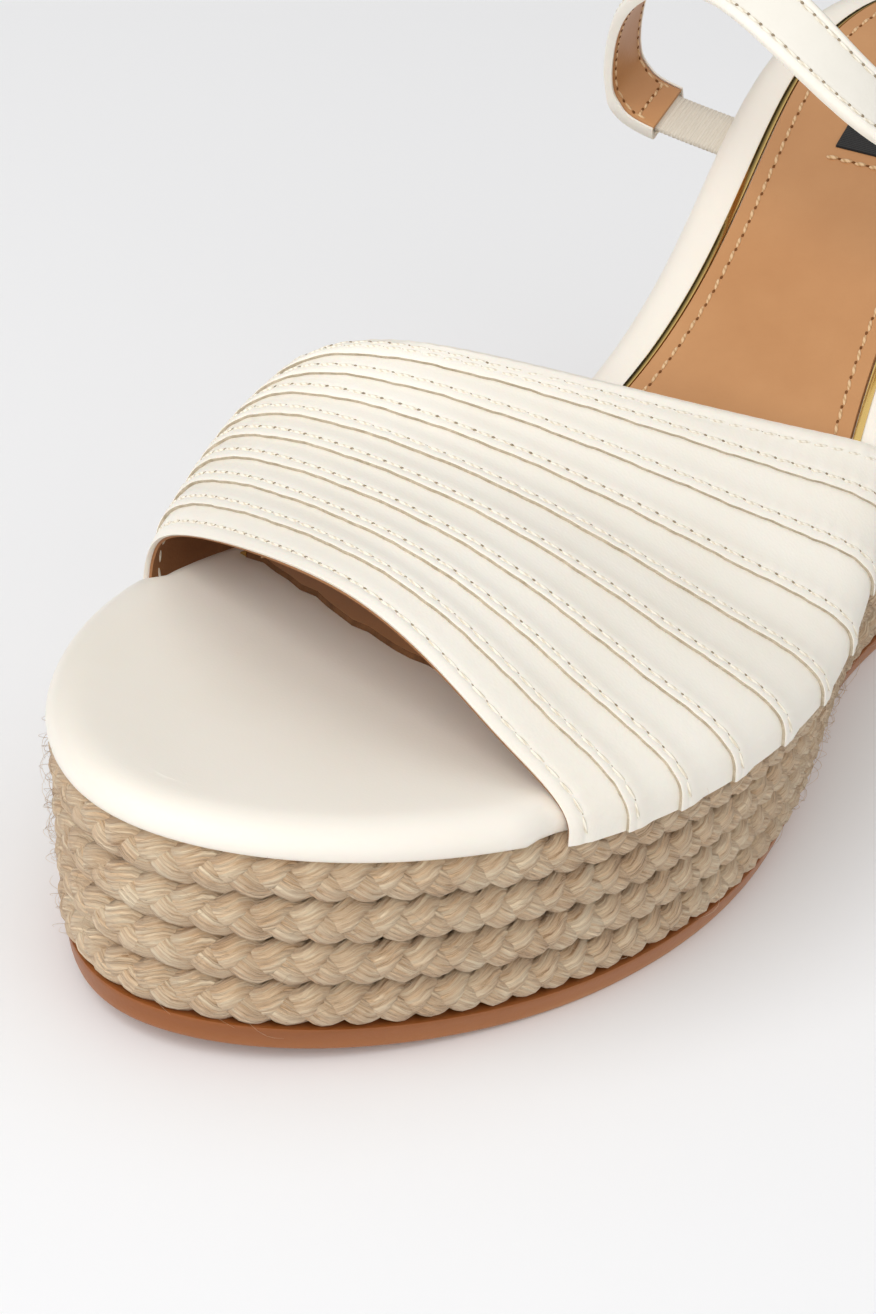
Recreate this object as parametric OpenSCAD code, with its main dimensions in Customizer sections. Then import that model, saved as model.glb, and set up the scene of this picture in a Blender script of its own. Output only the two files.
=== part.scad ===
// Left platform wedge sandal: plaited jute wedge, fan-stripped vamp, buckled ankle strap.
// Origin on the ground below the middle of the foot, toe towards -Y, outer side of the foot towards +X.

/* [Sole] */
// Overall length of the footbed, toe to heel
shoe_length = 244; // [235:1:255]
// Overall width across the ball of the foot
ball_width = 91; // [88:1:95]
// Height of the jute under the toes
toe_height = 32.7; // [31:0.1:35]
// Rise of the footbed from toe to heel
heel_rise = 55.4; // [50:0.2:60]
// Lift of the sole at the very tip of the toe
toe_spring = 3.6; // [2:0.1:4]
// Thickness of the rubber outsole
outsole_thick = 4; // [3.5:0.1:4.5]
// How far the outsole stands back from the rim, seen from above
outsole_inset = 5.6; // [5:0.1:6]
// How far the lowest jute row stands back from the rim
jute_inset = 3.9; // [3:0.1:4.5]

/* [Footbed] */
// Height of the padded footbed cover above the jute
cover_height = 5.5; // [5:0.1:6]
// Distance of the gold trim from the rim
trim_inset = 6.5; // [6.2:0.1:7]
// Width of the gold trim
trim_width = 1.7; // [1.4:0.1:2]
// Thickness of the tan insock
insock_thick = 1; // [0.8:0.1:1.2]
// Width of the blank patch on the insock
label_width = 18; // [14:1:20]
// Length of the blank patch on the insock
label_length = 14; // [12:1:16]

/* [Vamp] */
// Thickness of one leather strip
strip_thick = 0.8; // [0.7:0.05:0.9]
// Thickness of the vamp lining
lining_thick = 0.6; // [0.5:0.05:0.7]
// Extra height of the instep above the rim
vamp_lift = 0; // [-1:0.5:4]

/* [Ankle strap] */
// Width of the leather strap
strap_width = 10; // [9:0.5:11]
// Thickness of the outer leather of the strap
strap_thick = 1; // [0.8:0.1:1.2]
// Thickness of the strap's lining
strap_lining_thick = 0.7; // [0.5:0.1:0.8]
// Width of the woven elastic
elastic_width = 8; // [7:0.5:9]
// Thickness of the woven elastic
elastic_thick = 1.2; // [1:0.1:1.4]

/* [Buckle] */
// Radius of the buckle's wire
wire_r = 1; // [0.9:0.05:1.1]
// Radius of the bar that the buckle turns on
bar_r = 0.8; // [0.7:0.05:0.9]
// Clear height inside the buckle frame
frame_clear = 11; // [10.5:0.5:12]
// Radius of the prong
prong_r = 0.7; // [0.6:0.05:0.75]

/* [Hidden] */

cream = "#f1ece0";
tan_leather = "#cd9c68";
jute = "#c8ab80";
gum = "#c07c46";
steel = "#b9bcc0";
gold = "#d3b56c";

// Footbed outline: control points of a closed cubic curve, from the toe along the outer side.
outline_pts = [
    [-11, -126], [14, -118], [33, -94], [45, -63], [48, -28], [40, 8], [25, 45], [27, 81], [15, 116],
    [-2, 124], [-20, 117], [-29, 82], [-17, 41], [-21, 1], [-43, -38], [-48, -71], [-34, -106]
];
outline_steps = 10;
scale_x = ball_width / 91;
scale_y = shoe_length / 244;

function clamp01(v) = max(0, min(1, v));
function smooth(v) = clamp01(v) * clamp01(v) * (3 - 2 * clamp01(v));
function unit(v) = v / norm(v);

// Closed cubic spline: position and direction at control point k, fraction u.
function spline_pos(p, k, u) =
    let (n = len(p), a = p[(k + n - 1) % n], b = p[k % n], c = p[(k + 1) % n], d = p[(k + 2) % n])
    (pow(1 - u, 3) * a + (3 * u * u * u - 6 * u * u + 4) * b
        + (1 + 3 * u + 3 * u * u - 3 * u * u * u) * c + u * u * u * d) / 6;
function spline_dir(p, k, u) =
    let (n = len(p), a = p[(k + n - 1) % n], b = p[k % n], c = p[(k + 1) % n], d = p[(k + 2) % n])
    (-(1 - u) * (1 - u) * a + (3 * u * u - 4 * u) * b + (1 + 2 * u - 3 * u * u) * c + u * u * d) / 2;

edge_pts = [for (k = [0:len(outline_pts) - 1], s = [0:outline_steps - 1])
    let (q = spline_pos(outline_pts, k, s / outline_steps)) [q.x * scale_x, q.y * scale_y]];
edge_out = [for (k = [0:len(outline_pts) - 1], s = [0:outline_steps - 1])
    let (d = spline_dir(outline_pts, k, s / outline_steps)) unit([d.y * scale_x, -d.x * scale_y])];
edge_n = len(edge_pts);

// The rim at a station, on the outer or the inner side: its x, and the way it faces.
function rim_hit(y, outer) = let (
    hits = [for (i = [0:edge_n - 1]) let (j = (i + 1) % edge_n, a = edge_pts[i], b = edge_pts[j])
        if (a.y != b.y && (b.y > a.y) == outer && (a.y - y) * (b.y - y) <= 0)
            let (f = (y - a.y) / (b.y - a.y))
            [a.x + (b.x - a.x) * f, unit(edge_out[i] * (1 - f) + edge_out[j] * f)]]) hits[0];
function rim_x(y, outer) = rim_hit(y, outer)[0];

// The rim as pairs of points that face each other across the foot, closer together at the tips.
stations = 34;
toe_y = min([for (p = edge_pts) p.y]);
heel_y = max([for (p = edge_pts) p.y]);
function station_y(j) = (toe_y + heel_y) / 2 - (heel_y - toe_y) / 2 * cos(180 * j / stations);
function tip(y) = [for (i = [0:edge_n - 1]) if (edge_pts[i].y == y) edge_pts[i]][0];
rim_sides = [for (outer = [true, false]) [for (j = [1:stations - 1]) rim_hit(station_y(j), outer)]];
rim_pts = concat([tip(toe_y)], [for (j = [1:stations - 1]) [rim_sides[0][j - 1][0], station_y(j)]],
    [tip(heel_y)], [for (j = [stations - 1:-1:1]) [rim_sides[1][j - 1][0], station_y(j)]]);
rim_out = concat([[0, -1]], [for (h = rim_sides[0]) h[1]],
    [[0, 1]], [for (j = [stations - 1:-1:1]) rim_sides[1][j - 1][1]]);
rim_n = len(rim_pts);

// Height of the jute's top edge over the ground at a station along the foot.
ramp_from = -18 * scale_y;
ramp_to = 109 * scale_y;
spring_from = -62 * scale_y;
function spring_at(y) = toe_spring * pow(max(0, (spring_from - y) / 60), 1.7);
function rise_at(y) = heel_rise * smooth((y - ramp_from) / (ramp_to - ramp_from));
function rim_z(y) = toe_height + rise_at(y) + spring_at(y);

// A ring of points: the rim moved inwards, at a height over the ground or over the rim.
function ring(inset, z, on_rim = true) = [for (i = [0:rim_n - 1])
    let (d = is_num(inset) ? inset : inset[i], p = rim_pts[i] - d * rim_out[i])
    [p.x, p.y, (on_rim ? rim_z(p.y) : spring_at(p.y)) + z]];

// Closed solid through stacked rings, with flat-ruled ends.
module stack(rings) {
    n = len(rings[0]);
    m = len(rings);
    half = floor(n / 2);
    cap = [for (i = [0:half - 1]) let (a = i, b = i + 1, c = (n - i) % n, d = n - i - 1)
        each [if (a != c) [a, b, c], if (b != d) [b, d, c]]];
    walls = [for (r = [0:m - 2], i = [0:n - 1]) let (j = (i + 1) % n, a = r * n, b = a + n)
        each [[a + i, b + j, a + j], [a + i, b + i, b + j]]];
    bottom = [for (t = cap) [t[0], t[1], t[2]]];
    top = [for (t = cap) [t[0], t[2], t[1]] + (m - 1) * n * [1, 1, 1]];
    polyhedron(points = [for (r = rings) each r], faces = concat(bottom, top, walls));
}

// Closed solid swept through sections; open ends get flat caps.
module sweep(sections, closed = false) {
    n = len(sections[0]);
    m = len(sections);
    last = closed ? m - 1 : m - 2;
    walls = [for (r = [0:last], i = [0:n - 1])
        let (j = (i + 1) % n, a = r * n, b = ((r + 1) % m) * n)
        each [[a + i, a + j, b + j], [a + i, b + j, b + i]]];
    caps = closed ? [] : [[for (i = [n - 1:-1:0]) i], [for (i = [0:n - 1]) (m - 1) * n + i]];
    polyhedron(points = [for (s = sections) each s], faces = concat(walls, caps));
}

// ---- sole ----

module outsole() {
    color(gum) stack([
        ring(outsole_inset, 0, false),
        ring(jute_inset + 0.4, outsole_thick, false)
    ]);
}

row_pitch = (toe_height - outsole_thick) / 4;
jute_r = row_pitch / 2 - 0.04;
heel_rows = 8;
heel_pitch = (heel_rise - 1) / heel_rows;
layer_gap = 0.15;
core_inset = 2 * jute_r + 0.2;

// How far the jute wall stands back at a height over the ground.
function wall_inset(y, z) =
    let (low = outsole_thick + spring_at(y), high = rim_z(y)) jute_inset * clamp01((high - z) / (high - low));

shank_from = -22 * scale_y;
shank_to = 108 * scale_y;
shank_width = 12;
shank_thick = 1.3;
shank_x = 1;
rivet_r = 1.8;
rivet_y = [shank_from + 6, shank_to - 4];

module rivet_cuts(r) {
    for (y = rivet_y)
        translate([shank_x, y, rim_z(y) - 3]) cylinder(r = r, h = 6, $fn = 24);
}

module wedge_core() {
    color("#d9c9a8") stack([
        ring(jute_inset + core_inset, outsole_thick + 0.05, false),
        ring(core_inset, -shank_thick - 3 * layer_gap)
    ]);
}

// Steel strip under the board, from behind the ball of the foot to the heel seat.
module steel_shank() {
    steps = 20;
    w = shank_width / 2;
    low = -shank_thick - layer_gap;
    color(steel) difference() {
        sweep([for (s = [0:steps])
            let (y = shank_from + s * (shank_to - shank_from) / steps, z = rim_z(y))
            [[shank_x - w, y, z + low], [shank_x - w, y, z - layer_gap],
                [shank_x + w, y, z - layer_gap], [shank_x + w, y, z + low]]]);
        rivet_cuts(rivet_r + 0.1);
    }
}

module shank_rivets() {
    color(steel) for (y = rivet_y)
        translate([shank_x, y, rim_z(y) - shank_thick]) cylinder(r = rivet_r, h = 2.3, $fn = 24);
}

// ---- jute wrap ----

row_sides = 8;

module jute_tube(centres, outs, heights, closed) {
    color(jute) sweep([for (k = [0:len(centres) - 1])
        [for (s = [0:row_sides - 1]) let (a = -360 * s / row_sides)
            centres[k] + [jute_r * cos(a) * outs[k].x, jute_r * cos(a) * outs[k].y, heights[k] * sin(a)]]], closed);
}

// A full row round the shoe; level rows follow the ground, the others follow the rim.
module full_row(drop, level) {
    jute_tube([for (i = [0:rim_n - 1])
        let (
            y = rim_pts[i].y,
            d = wall_inset(y, level ? outsole_thick + spring_at(y) + drop : rim_z(y) - drop) + jute_r,
            p = rim_pts[i] - d * rim_out[i])
        [p.x, p.y, level ? outsole_thick + spring_at(p.y) + drop : rim_z(p.y) - drop]],
        rim_out, [for (i = [0:rim_n - 1]) jute_r], true);
}

// A row round the heel only; its ends are squeezed flat between the row below and the sloping top rows.
module heel_row(k) {
    low = outsole_thick + 2 * row_pitch + (k - 1) * heel_pitch + 0.1;
    keep = [for (i = [0:rim_n - 1]) if (rise_at(rim_pts[i].y) > (k - 1) * heel_pitch + 1.4) i];
    outs = [for (i = keep) rim_out[i]];
    heights = [for (i = keep) min(heel_pitch / 2 - 0.04, (rise_at(rim_pts[i].y) - (k - 1) * heel_pitch) / 2 - 0.2)];
    jute_tube([for (n = [0:len(keep) - 1])
        let (p = rim_pts[keep[n]], z = low + heights[n], d = wall_inset(p.y, z) + jute_r)
        [p.x - d * outs[n].x, p.y - d * outs[n].y, z]], outs, heights, false);
}

// ---- footbed ----

// The cover stands back a little where the vamp is wrapped down its sides.
wrap_depth = 2.1;
function window(y, from, to) = smooth((y - from + 4) / 4) * (1 - smooth((y - to) / 4));
function wrap_at(i) = wrap_depth * (rim_out[i].x > 0
    ? window(rim_pts[i].y, -82, 31) : window(rim_pts[i].y, -61, -28));
function cover_ring(inset, z, drop = 0) = [for (i = [0:rim_n - 1])
    let (p = rim_pts[i] - (inset + wrap_at(i)) * rim_out[i]) [p.x, p.y, rim_z(p.y) + z - drop * wrap_at(i)]];

module insole_board() {
    color("#8a6f4e") difference() {
        stack([ring(5.2, 0.05), ring(5.2, 1.4)]);
        rivet_cuts(rivet_r + 0.1);
    }
}

module footbed_foam() {
    color("#e8dcc0") stack([ring(5.3, 1.5), ring(5.6, cover_height - 1.3)]);
}

module insole_cover() {
    color(cream) stack([
        cover_ring(3.1, cover_height - 1.2),
        cover_ring(2.9, 0.1),
        cover_ring(0.4, 0.1),
        cover_ring(-0.1, 1.8),
        cover_ring(0.6, cover_height - 1.8, 0.5),
        cover_ring(2.4, cover_height - 0.5, 0.4),
        ring(6.2, cover_height)
    ]);
}

// Clears everything in front of the insock's toe-side edge.
front_turn = -15;
front_y = -59.3;
module front_cut() {
    translate([0, front_y, 0]) rotate([0, 0, front_turn]) translate([-80, -100, 0]) cube([160, 100, 80]);
}

module gold_trim() {
    low = cover_height + 0.08;
    color(gold) difference() {
        sweep([for (i = [0:rim_n - 1])
            [for (q = [[0, low], [0, low + 0.6], [trim_width, low + 0.6], [trim_width, low]])
                let (p = rim_pts[i] - (trim_inset + q[0]) * rim_out[i])
                [p.x, p.y, rim_z(p.y) + q[1]]]], true);
        front_cut();
    }
}

module insock() {
    low = cover_height + 0.08;
    inset = trim_inset + trim_width + 0.1;
    color(tan_leather) difference() {
        stack([ring(inset, low), ring(inset + 0.2, low + insock_thick)]);
        front_cut();
    }
}

label_at = [4.2, 74];
label_turn = 4;
module insock_label() {
    low = cover_height + insock_thick + 0.15;
    steps = 4;
    function spot(u, v, h) = let (
        x = label_at.x + cos(label_turn) * u - sin(label_turn) * v,
        y = label_at.y + sin(label_turn) * u + cos(label_turn) * v) [x, y, rim_z(y) + low + h];
    color("#1d1c1b") sweep([for (s = [0:steps]) let (v = (s / steps - 0.5) * label_length, w = label_width / 2)
        [spot(-w, v, 0), spot(-w, v, 0.4), spot(w, v, 0.4), spot(w, v, 0)]]);
}

// ---- vamp ----

// Clamped cubic spline through a list of control points.
function knot(j, n) = max(0, min(n - 3, j - 3));
function basis(j, d, u, n) = d == 0
    ? (u >= knot(j, n) && (u < knot(j + 1, n) || (u == n - 3 && knot(j + 1, n) == n - 3 && u > knot(j, n))) ? 1 : 0)
    : let (a = knot(j + d, n) - knot(j, n), b = knot(j + d + 1, n) - knot(j + 1, n))
        (a > 0 ? (u - knot(j, n)) / a * basis(j, d - 1, u, n) : 0)
        + (b > 0 ? (knot(j + d + 1, n) - u) / b * basis(j + 1, d - 1, u, n) : 0);
function weights(u, n) = let (v = min(u, 0.99999) * (n - 3)) [for (j = [0:n - 1]) basis(j, 3, v, n)];
function curve_at(p, u) = weights(u, len(p)) * p;

strips = 9;
vamp_steps = 24;
vamp_inset = [-0.4, 0.6];

// The vamp's seams fan out: seam 0 is the front edge, seam 9 the rear edge.
function seam_inner_y(s) = -59.9 + 32.5 * s;
function seam_outer_y(s) = -79 + 106 * s - 4.2 * sin(360 * s);
function seam(k) = let (
    s = k / strips,
    ya = seam_inner_y(s),
    yb = seam_outer_y(s),
    a = [rim_x(ya, false) + vamp_inset[0], ya, rim_z(ya)],
    b = [rim_x(yb, true) - vamp_inset[1], yb, rim_z(yb)],
    inner = 13 + 25.5 * s + vamp_lift,
    crown = 31.2 - 4 * s + vamp_lift,
    outer = 10.6 - 1.5 * s + vamp_lift,
    shape = [
        [0, 0],
        [-0.01 - 0.12 * s, inner / 2],
        [0.01 - 0.12 * s, inner],
        [0.57 - 0.14 * s, crown],
        [0.87, outer],
        [1, outer * 0.45],
        [1, 0]
    ],
    lean = -10.7 + 3 * s)
    [for (i = [0:vamp_steps]) let (q = curve_at(shape, i / vamp_steps))
        a + (b - a) * q.x + [0, lean * sin(180 * clamp01(q.x)), q.y]];

seams = [for (k = [0:strips]) seam(k)];
function on_vamp(k, i) = let (j = min(strips - 1, floor(k)), f = k - j) seams[j][i] * (1 - f) + seams[j + 1][i] * f;
function vamp_out(k, i) = let (
    j = min(strips, max(0, round(k))),
    across = seams[j][min(vamp_steps, i + 1)] - seams[j][max(0, i - 1)],
    along = seams[min(strips, j + 1)][i] - seams[max(0, j - 1)][i]) unit(cross(across, along));

// Closed shell between two grids of points.
module shell(low, high) {
    rows = len(low);
    cols = len(low[0]);
    n = rows * cols;
    sheet = [for (r = [0:rows - 2], c = [0:cols - 2]) let (a = r * cols + c, b = a + cols)
        each [[a, a + 1, b + 1], [a, b + 1, b]]];
    edge = concat([for (c = [0:cols - 2]) c], [for (r = [0:rows - 2]) r * cols + cols - 1],
        [for (c = [cols - 1:-1:1]) (rows - 1) * cols + c], [for (r = [rows - 1:-1:1]) r * cols]);
    walls = [for (e = [0:len(edge) - 1]) let (a = edge[e], b = edge[(e + 1) % len(edge)])
        each [[a, b, b + n], [a, b + n, a + n]]];
    polyhedron(
        points = concat([for (r = low) each r], [for (r = high) each r]),
        faces = concat(sheet, [for (f = sheet) [f[0], f[2], f[1]] + n * [1, 1, 1]],
            [for (f = walls) [f[0], f[2], f[1]]]));
}

function vamp_row(k, lift) = [for (i = [0:vamp_steps]) on_vamp(k, i) + lift * vamp_out(k, i)];

module vamp_lining() {
    color(tan_leather) shell([for (k = [0:strips]) vamp_row(k, -lining_thick)],
        [for (k = [0:strips]) vamp_row(k, 0)]);
}

// Each strip lies over the one in front of it: [position in the strip, height of its underside].
bond = 0.08;
lap = 0.4;
function strip_profile(k) = concat(
    k == 1 ? [[0, bond]] : [[0, strip_thick + 2 * bond], [lap, strip_thick + 2 * bond]],
    [[1, bond]],
    k == strips ? [] : [[1 + lap, bond]]);

module vamp_strip(k) {
    profile = strip_profile(k);
    color(cream) shell([for (q = profile) vamp_row(k - 1 + q[0], q[1])],
        [for (q = profile) vamp_row(k - 1 + q[0], q[1] + strip_thick)]);
}

// ---- ankle strap ----

// Route of the strap's middle, from the inner rim over the instep to the buckle.
strap_root = [rim_x(68 * scale_y, false) - 1.3, 68 * scale_y, rim_z(68 * scale_y) + 1];
bar_at = [30, 46.5, 77];
tab_dir = unit([1, 3.5, -10]);
tab_length = 11;
strap_route = [
    strap_root, strap_root + [-11, 0, 0.5], strap_root + [-19, 0, 1], [-42.5, 61, 90], [-32.5, 45, 107],
    [-8, 24, 123], [20, 25.5, 102]
];
strap_across = [
    [0, 0.85, 0.53], [0, 0.85, 0.53], [0, 0.85, 0.53], [0, 0.87, 0.5], [0, 0.88, 0.45],
    [0, 0.6, 0.8], [0, 0.8, 0.5]
];

// Directions of the buckle: along the bar, up along the strap, and away from the ankle.
buckle_up = -tab_dir;
bar_dir = unit([0, 1, 0] - ([0, 1, 0] * buckle_up) * buckle_up);
buckle_out = cross(bar_dir, buckle_up);
function at_buckle(y, z) = bar_at + y * buckle_up + z * buckle_out;
module on_buckle() {
    multmatrix([
        [bar_dir.x, buckle_up.x, buckle_out.x, bar_at.x],
        [bar_dir.y, buckle_up.y, buckle_out.y, bar_at.y],
        [bar_dir.z, buckle_up.z, buckle_out.z, bar_at.z],
        [0, 0, 0, 1]
    ]) children();
}

// The strap passes behind the buckle's far side, over the bar and down over the tab.
tab_r = bar_r + 1.2;
strap_low = -wire_r - strap_thick - 0.35;
strap_high = tab_r + strap_lining_thick + 0.25;
far_side = frame_clear + wire_r + 1;
buckled = [
    [far_side + 7, strap_low - 0.3], [far_side + 2, strap_low], [far_side - 2.4, strap_low + 0.1],
    [far_side - 4.6, strap_low + 0.8],
    [far_side * 0.42, (strap_low + strap_high) / 2], [3.4, strap_high - 0.7], [1.2, strap_high],
    [-3, strap_high], [-8, strap_high - 0.3], [-15, strap_high - 0.3]
];
free_steps = 30;
free_route = concat(strap_route, [at_buckle(far_side + 9.5, strap_low - 1), at_buckle(far_side + 7, strap_low - 0.3)]);
free_across = concat(strap_across, [bar_dir, bar_dir]);
strap_mid = concat([for (s = [0:free_steps]) curve_at(free_route, s / free_steps)],
    [for (k = [1:len(buckled) - 1]) at_buckle(buckled[k][0], buckled[k][1])]);
strap_side = concat([for (s = [0:free_steps]) curve_at(free_across, s / free_steps)],
    [for (k = [1:len(buckled) - 1]) bar_dir]);
strap_n = len(strap_mid);
function strap_dir(k) = unit(strap_mid[min(strap_n - 1, k + 1)] - strap_mid[max(0, k - 1)]);
function strap_w(k) = let (d = strap_dir(k)) unit(strap_side[k] - (strap_side[k] * d) * d);
function strap_out(k) = cross(strap_dir(k), strap_w(k));

function strap_section(k, w, low, high) = let (m = strap_mid[k], s = strap_w(k) * w / 2, o = strap_out(k))
    [m - s + low * o, m - s + high * o, m + s + high * o, m + s + low * o];

// The leather opens by half the elastic's thickness where the elastic is sewn in.
elastic_end = 5;
leather_from = 2;
function opened(k) = (elastic_thick / 2 + 0.05) * (1 - smooth((k - elastic_end) / 2)) + 0.12;

module prong_slot() {
    on_buckle() translate([0, 1.4, -4])
        translate([-prong_r - 0.4, 0, 0]) cube([2 * prong_r + 0.8, 7.6, 10]);
}

module elastic_gusset() {
    color(cream) sweep([for (k = [0:elastic_end])
        strap_section(k, elastic_width, -elastic_thick / 2, elastic_thick / 2)]);
}

module ankle_strap() {
    color(cream) difference() {
        sweep([for (k = [leather_from:strap_n - 1])
            strap_section(k, strap_width, opened(k), opened(k) + strap_thick)]);
        prong_slot();
    }
}

module ankle_strap_lining() {
    color(tan_leather) difference() {
        sweep([for (k = [leather_from:strap_n - 1])
            strap_section(k, strap_width, -opened(k) - strap_lining_thick, -opened(k))]);
        prong_slot();
    }
}

bar_fit = 0.05;
module bar_bore(r, h) {
    rotate([0, 90, 0]) cylinder(r = r, h = h, center = true, $fn = 48);
}

module buckle_tab() {
    slot = 2 * prong_r + 1.3;
    color(cream) on_buckle() difference() {
        union() {
            bar_bore(tab_r, strap_width);
            translate([-strap_width / 2, -tab_length, -tab_r + 0.6])
                cube([strap_width, tab_length, 2 * tab_r - 1.2]);
        }
        bar_bore(bar_r + bar_fit, strap_width + 2);
        translate([-slot / 2, -tab_r - 1.4, -3]) cube([slot, 8, 6]);
    }
}

module keeper_loop() {
    low = -tab_r + 0.6 - 0.15;
    high = strap_high + strap_thick + 0.3;
    wide = strap_width + 0.6;
    wall = 1;
    color(cream) on_buckle() translate([0, -7, 0]) difference() {
        translate([-wide / 2 - wall, -2.5, low - wall]) cube([wide + 2 * wall, 5, high - low + 2 * wall]);
        translate([-wide / 2, -4, low]) cube([wide, 8, high - low]);
    }
}

// Wire frame with round corners; its near side is the bar.
module buckle_frame() {
    half = strap_width / 2 + wire_r + 0.6;
    corner = 2.2;
    color(gold) on_buckle() {
        bar_bore(bar_r, 2 * half);
        for (s = [-1, 1]) {
            translate([s * half, 0, 0]) sphere(r = wire_r, $fn = 32);
            translate([s * half, 0, 0]) rotate([-90, 0, 0])
                cylinder(r = wire_r, h = far_side - corner, $fn = 32);
            translate([s * (half - corner), far_side - corner, 0]) mirror([s < 0 ? 1 : 0, 0, 0])
                rotate_extrude(angle = 90, $fn = 48) translate([corner, 0]) circle(r = wire_r, $fn = 32);
        }
        translate([0, far_side, 0]) rotate([0, 90, 0])
            cylinder(r = wire_r, h = 2 * (half - corner), center = true, $fn = 32);
    }
}

module buckle_prong() {
    ring_r = bar_r + 0.9;
    tip = far_side + wire_r + 0.6;
    rise = (wire_r + prong_r + 0.12) * tip / far_side;
    tilt = atan2(rise, tip);
    color(gold) on_buckle() difference() {
        union() {
            bar_bore(ring_r, 2 * prong_r + 0.3);
            rotate([-90 + tilt, 0, 0]) cylinder(r = prong_r, h = tip, $fn = 24);
        }
        bar_bore(bar_r + bar_fit, 6);
    }
}

outsole();
wedge_core();
steel_shank();
shank_rivets();
insole_board();
footbed_foam();
insole_cover();
gold_trim();
insock();
insock_label();
full_row(0.5 * row_pitch, true);  // jute_bottom_row_1
full_row(1.5 * row_pitch, true);  // jute_bottom_row_2
full_row(1.5 * row_pitch, false);  // jute_top_row_1
full_row(0.5 * row_pitch, false);  // jute_top_row_2
for (k = [1:heel_rows])
    heel_row(k);
vamp_lining();
for (k = [1:strips])
    vamp_strip(k);
elastic_gusset();
ankle_strap();
ankle_strap_lining();
buckle_tab();
keeper_loop();
buckle_frame();
buckle_prong();
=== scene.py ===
import bisect
import math
import random
import bmesh
import bpy
from mathutils import Matrix, Vector


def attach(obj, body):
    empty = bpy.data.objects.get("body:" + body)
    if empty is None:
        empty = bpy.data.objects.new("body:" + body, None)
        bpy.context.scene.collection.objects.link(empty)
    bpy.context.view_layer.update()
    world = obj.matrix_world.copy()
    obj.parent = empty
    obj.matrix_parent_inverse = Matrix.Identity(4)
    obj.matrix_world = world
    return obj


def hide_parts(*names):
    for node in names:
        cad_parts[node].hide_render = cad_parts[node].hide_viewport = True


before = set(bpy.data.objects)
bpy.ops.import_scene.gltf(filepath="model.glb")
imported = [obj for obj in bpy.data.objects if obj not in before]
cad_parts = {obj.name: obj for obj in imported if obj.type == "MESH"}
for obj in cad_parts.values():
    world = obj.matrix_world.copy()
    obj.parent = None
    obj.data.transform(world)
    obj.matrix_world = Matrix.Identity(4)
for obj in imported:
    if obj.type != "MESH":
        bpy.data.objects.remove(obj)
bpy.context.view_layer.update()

# Left platform wedge sandal. Lengths are worked out in millimetres and scaled once, when a vertex is placed.
mm = 0.001
random.seed(11)


def toLinear(hexColour, alpha=1.0):
    parts = [int(hexColour[i:i + 2], 16) / 255 for i in (1, 3, 5)]
    return [c / 12.92 if c <= 0.04045 else ((c + 0.055) / 1.055) ** 2.4 for c in parts] + [alpha]


def clamp(v, low=0.0, high=1.0):
    return max(low, min(high, v))


def smooth(v):
    v = clamp(v)
    return v * v * (3 - 2 * v)


def mix(a, b, f):
    return a * (1 - f) + b * f


def bump(d, width):
    return math.exp(-(d / width) ** 2)


def gridPatch(bm, across, along, pointAt, size=(1.0, 1.0), materialAt=None):
    # a flat grid is bent to its place; its UV map is kept in millimetres
    uvLayer = bm.loops.layers.uv.verify()
    made = bmesh.ops.create_grid(bm, x_segments=across, y_segments=along, size=1.0, calc_uvs=True)
    faces = {f for v in made["verts"] for f in v.link_faces}
    for f in faces:
        if materialAt:
            centre = f.calc_center_median()
            f.material_index = materialAt((centre.x + 1) / 2, (centre.y + 1) / 2)
        for loop in f.loops:
            uv = loop[uvLayer].uv
            uv.x, uv.y = uv.x * size[0], uv.y * size[1]
    for v in made["verts"]:
        v.co = Vector(pointAt((v.co.x + 1) / 2, (v.co.y + 1) / 2)) * mm


def closeMesh(bm, sharpAngle=50, weld=0.002):
    bmesh.ops.remove_doubles(bm, verts=bm.verts, dist=weld * mm)
    bmesh.ops.dissolve_degenerate(bm, dist=weld * mm, edges=bm.edges)
    gaps = [e for e in bm.edges if e.is_boundary]
    if gaps:
        bmesh.ops.holes_fill(bm, edges=gaps, sides=0)
    bmesh.ops.recalc_face_normals(bm, faces=bm.faces)
    for f in bm.faces:
        f.smooth = True
    for e in bm.edges:
        if e.is_manifold and e.calc_face_angle(0) > math.radians(sharpAngle):
            e.smooth = False


def addPiece(bm, name, materials, body, replaced=()):
    mesh = bpy.data.meshes.new(name)
    bm.to_mesh(mesh)
    bm.free()
    piece = bpy.data.objects.new(name, mesh)
    bpy.context.scene.collection.objects.link(piece)
    for material in materials:
        mesh.materials.append(material)
    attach(piece, body)
    if replaced:
        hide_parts(*replaced)
    return piece


def addNode(tree, kind, settings={}, inputs={}):
    node = tree.nodes.new(kind)
    for name, value in settings.items():
        setattr(node, name, value)
    for name, value in inputs.items():
        if isinstance(value, bpy.types.NodeSocket):
            tree.links.new(value, node.inputs[name])
        else:
            node.inputs[name].default_value = value
    return node


def startMaterial(name, fixed):
    material = bpy.data.materials.new(name)
    material.use_nodes = True
    tree = material.node_tree
    shader = tree.nodes["Principled BSDF"]
    for socket, value in fixed.items():
        shader.inputs[socket].default_value = value
    return material, tree, shader


def finishSurface(tree, shader, tones, stops, relief=None, strength=0.0, depth=0.0):
    # the tones run through the stops' colours; the relief is so many millimetres deep
    colours = addNode(tree, "ShaderNodeValToRGB", {}, {"Fac": tones})
    ramp = colours.color_ramp
    while len(ramp.elements) < len(stops):
        ramp.elements.new(0.5)
    for element, (place, colour) in zip(ramp.elements, stops):
        element.position = place
        element.color = toLinear(colour)
    tree.links.new(colours.outputs["Color"], shader.inputs["Base Color"])
    if relief:
        raised = addNode(tree, "ShaderNodeBump", {}, {"Strength": strength, "Distance": depth * mm, "Height": relief})
        tree.links.new(raised.outputs["Normal"], shader.inputs["Normal"])


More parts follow.
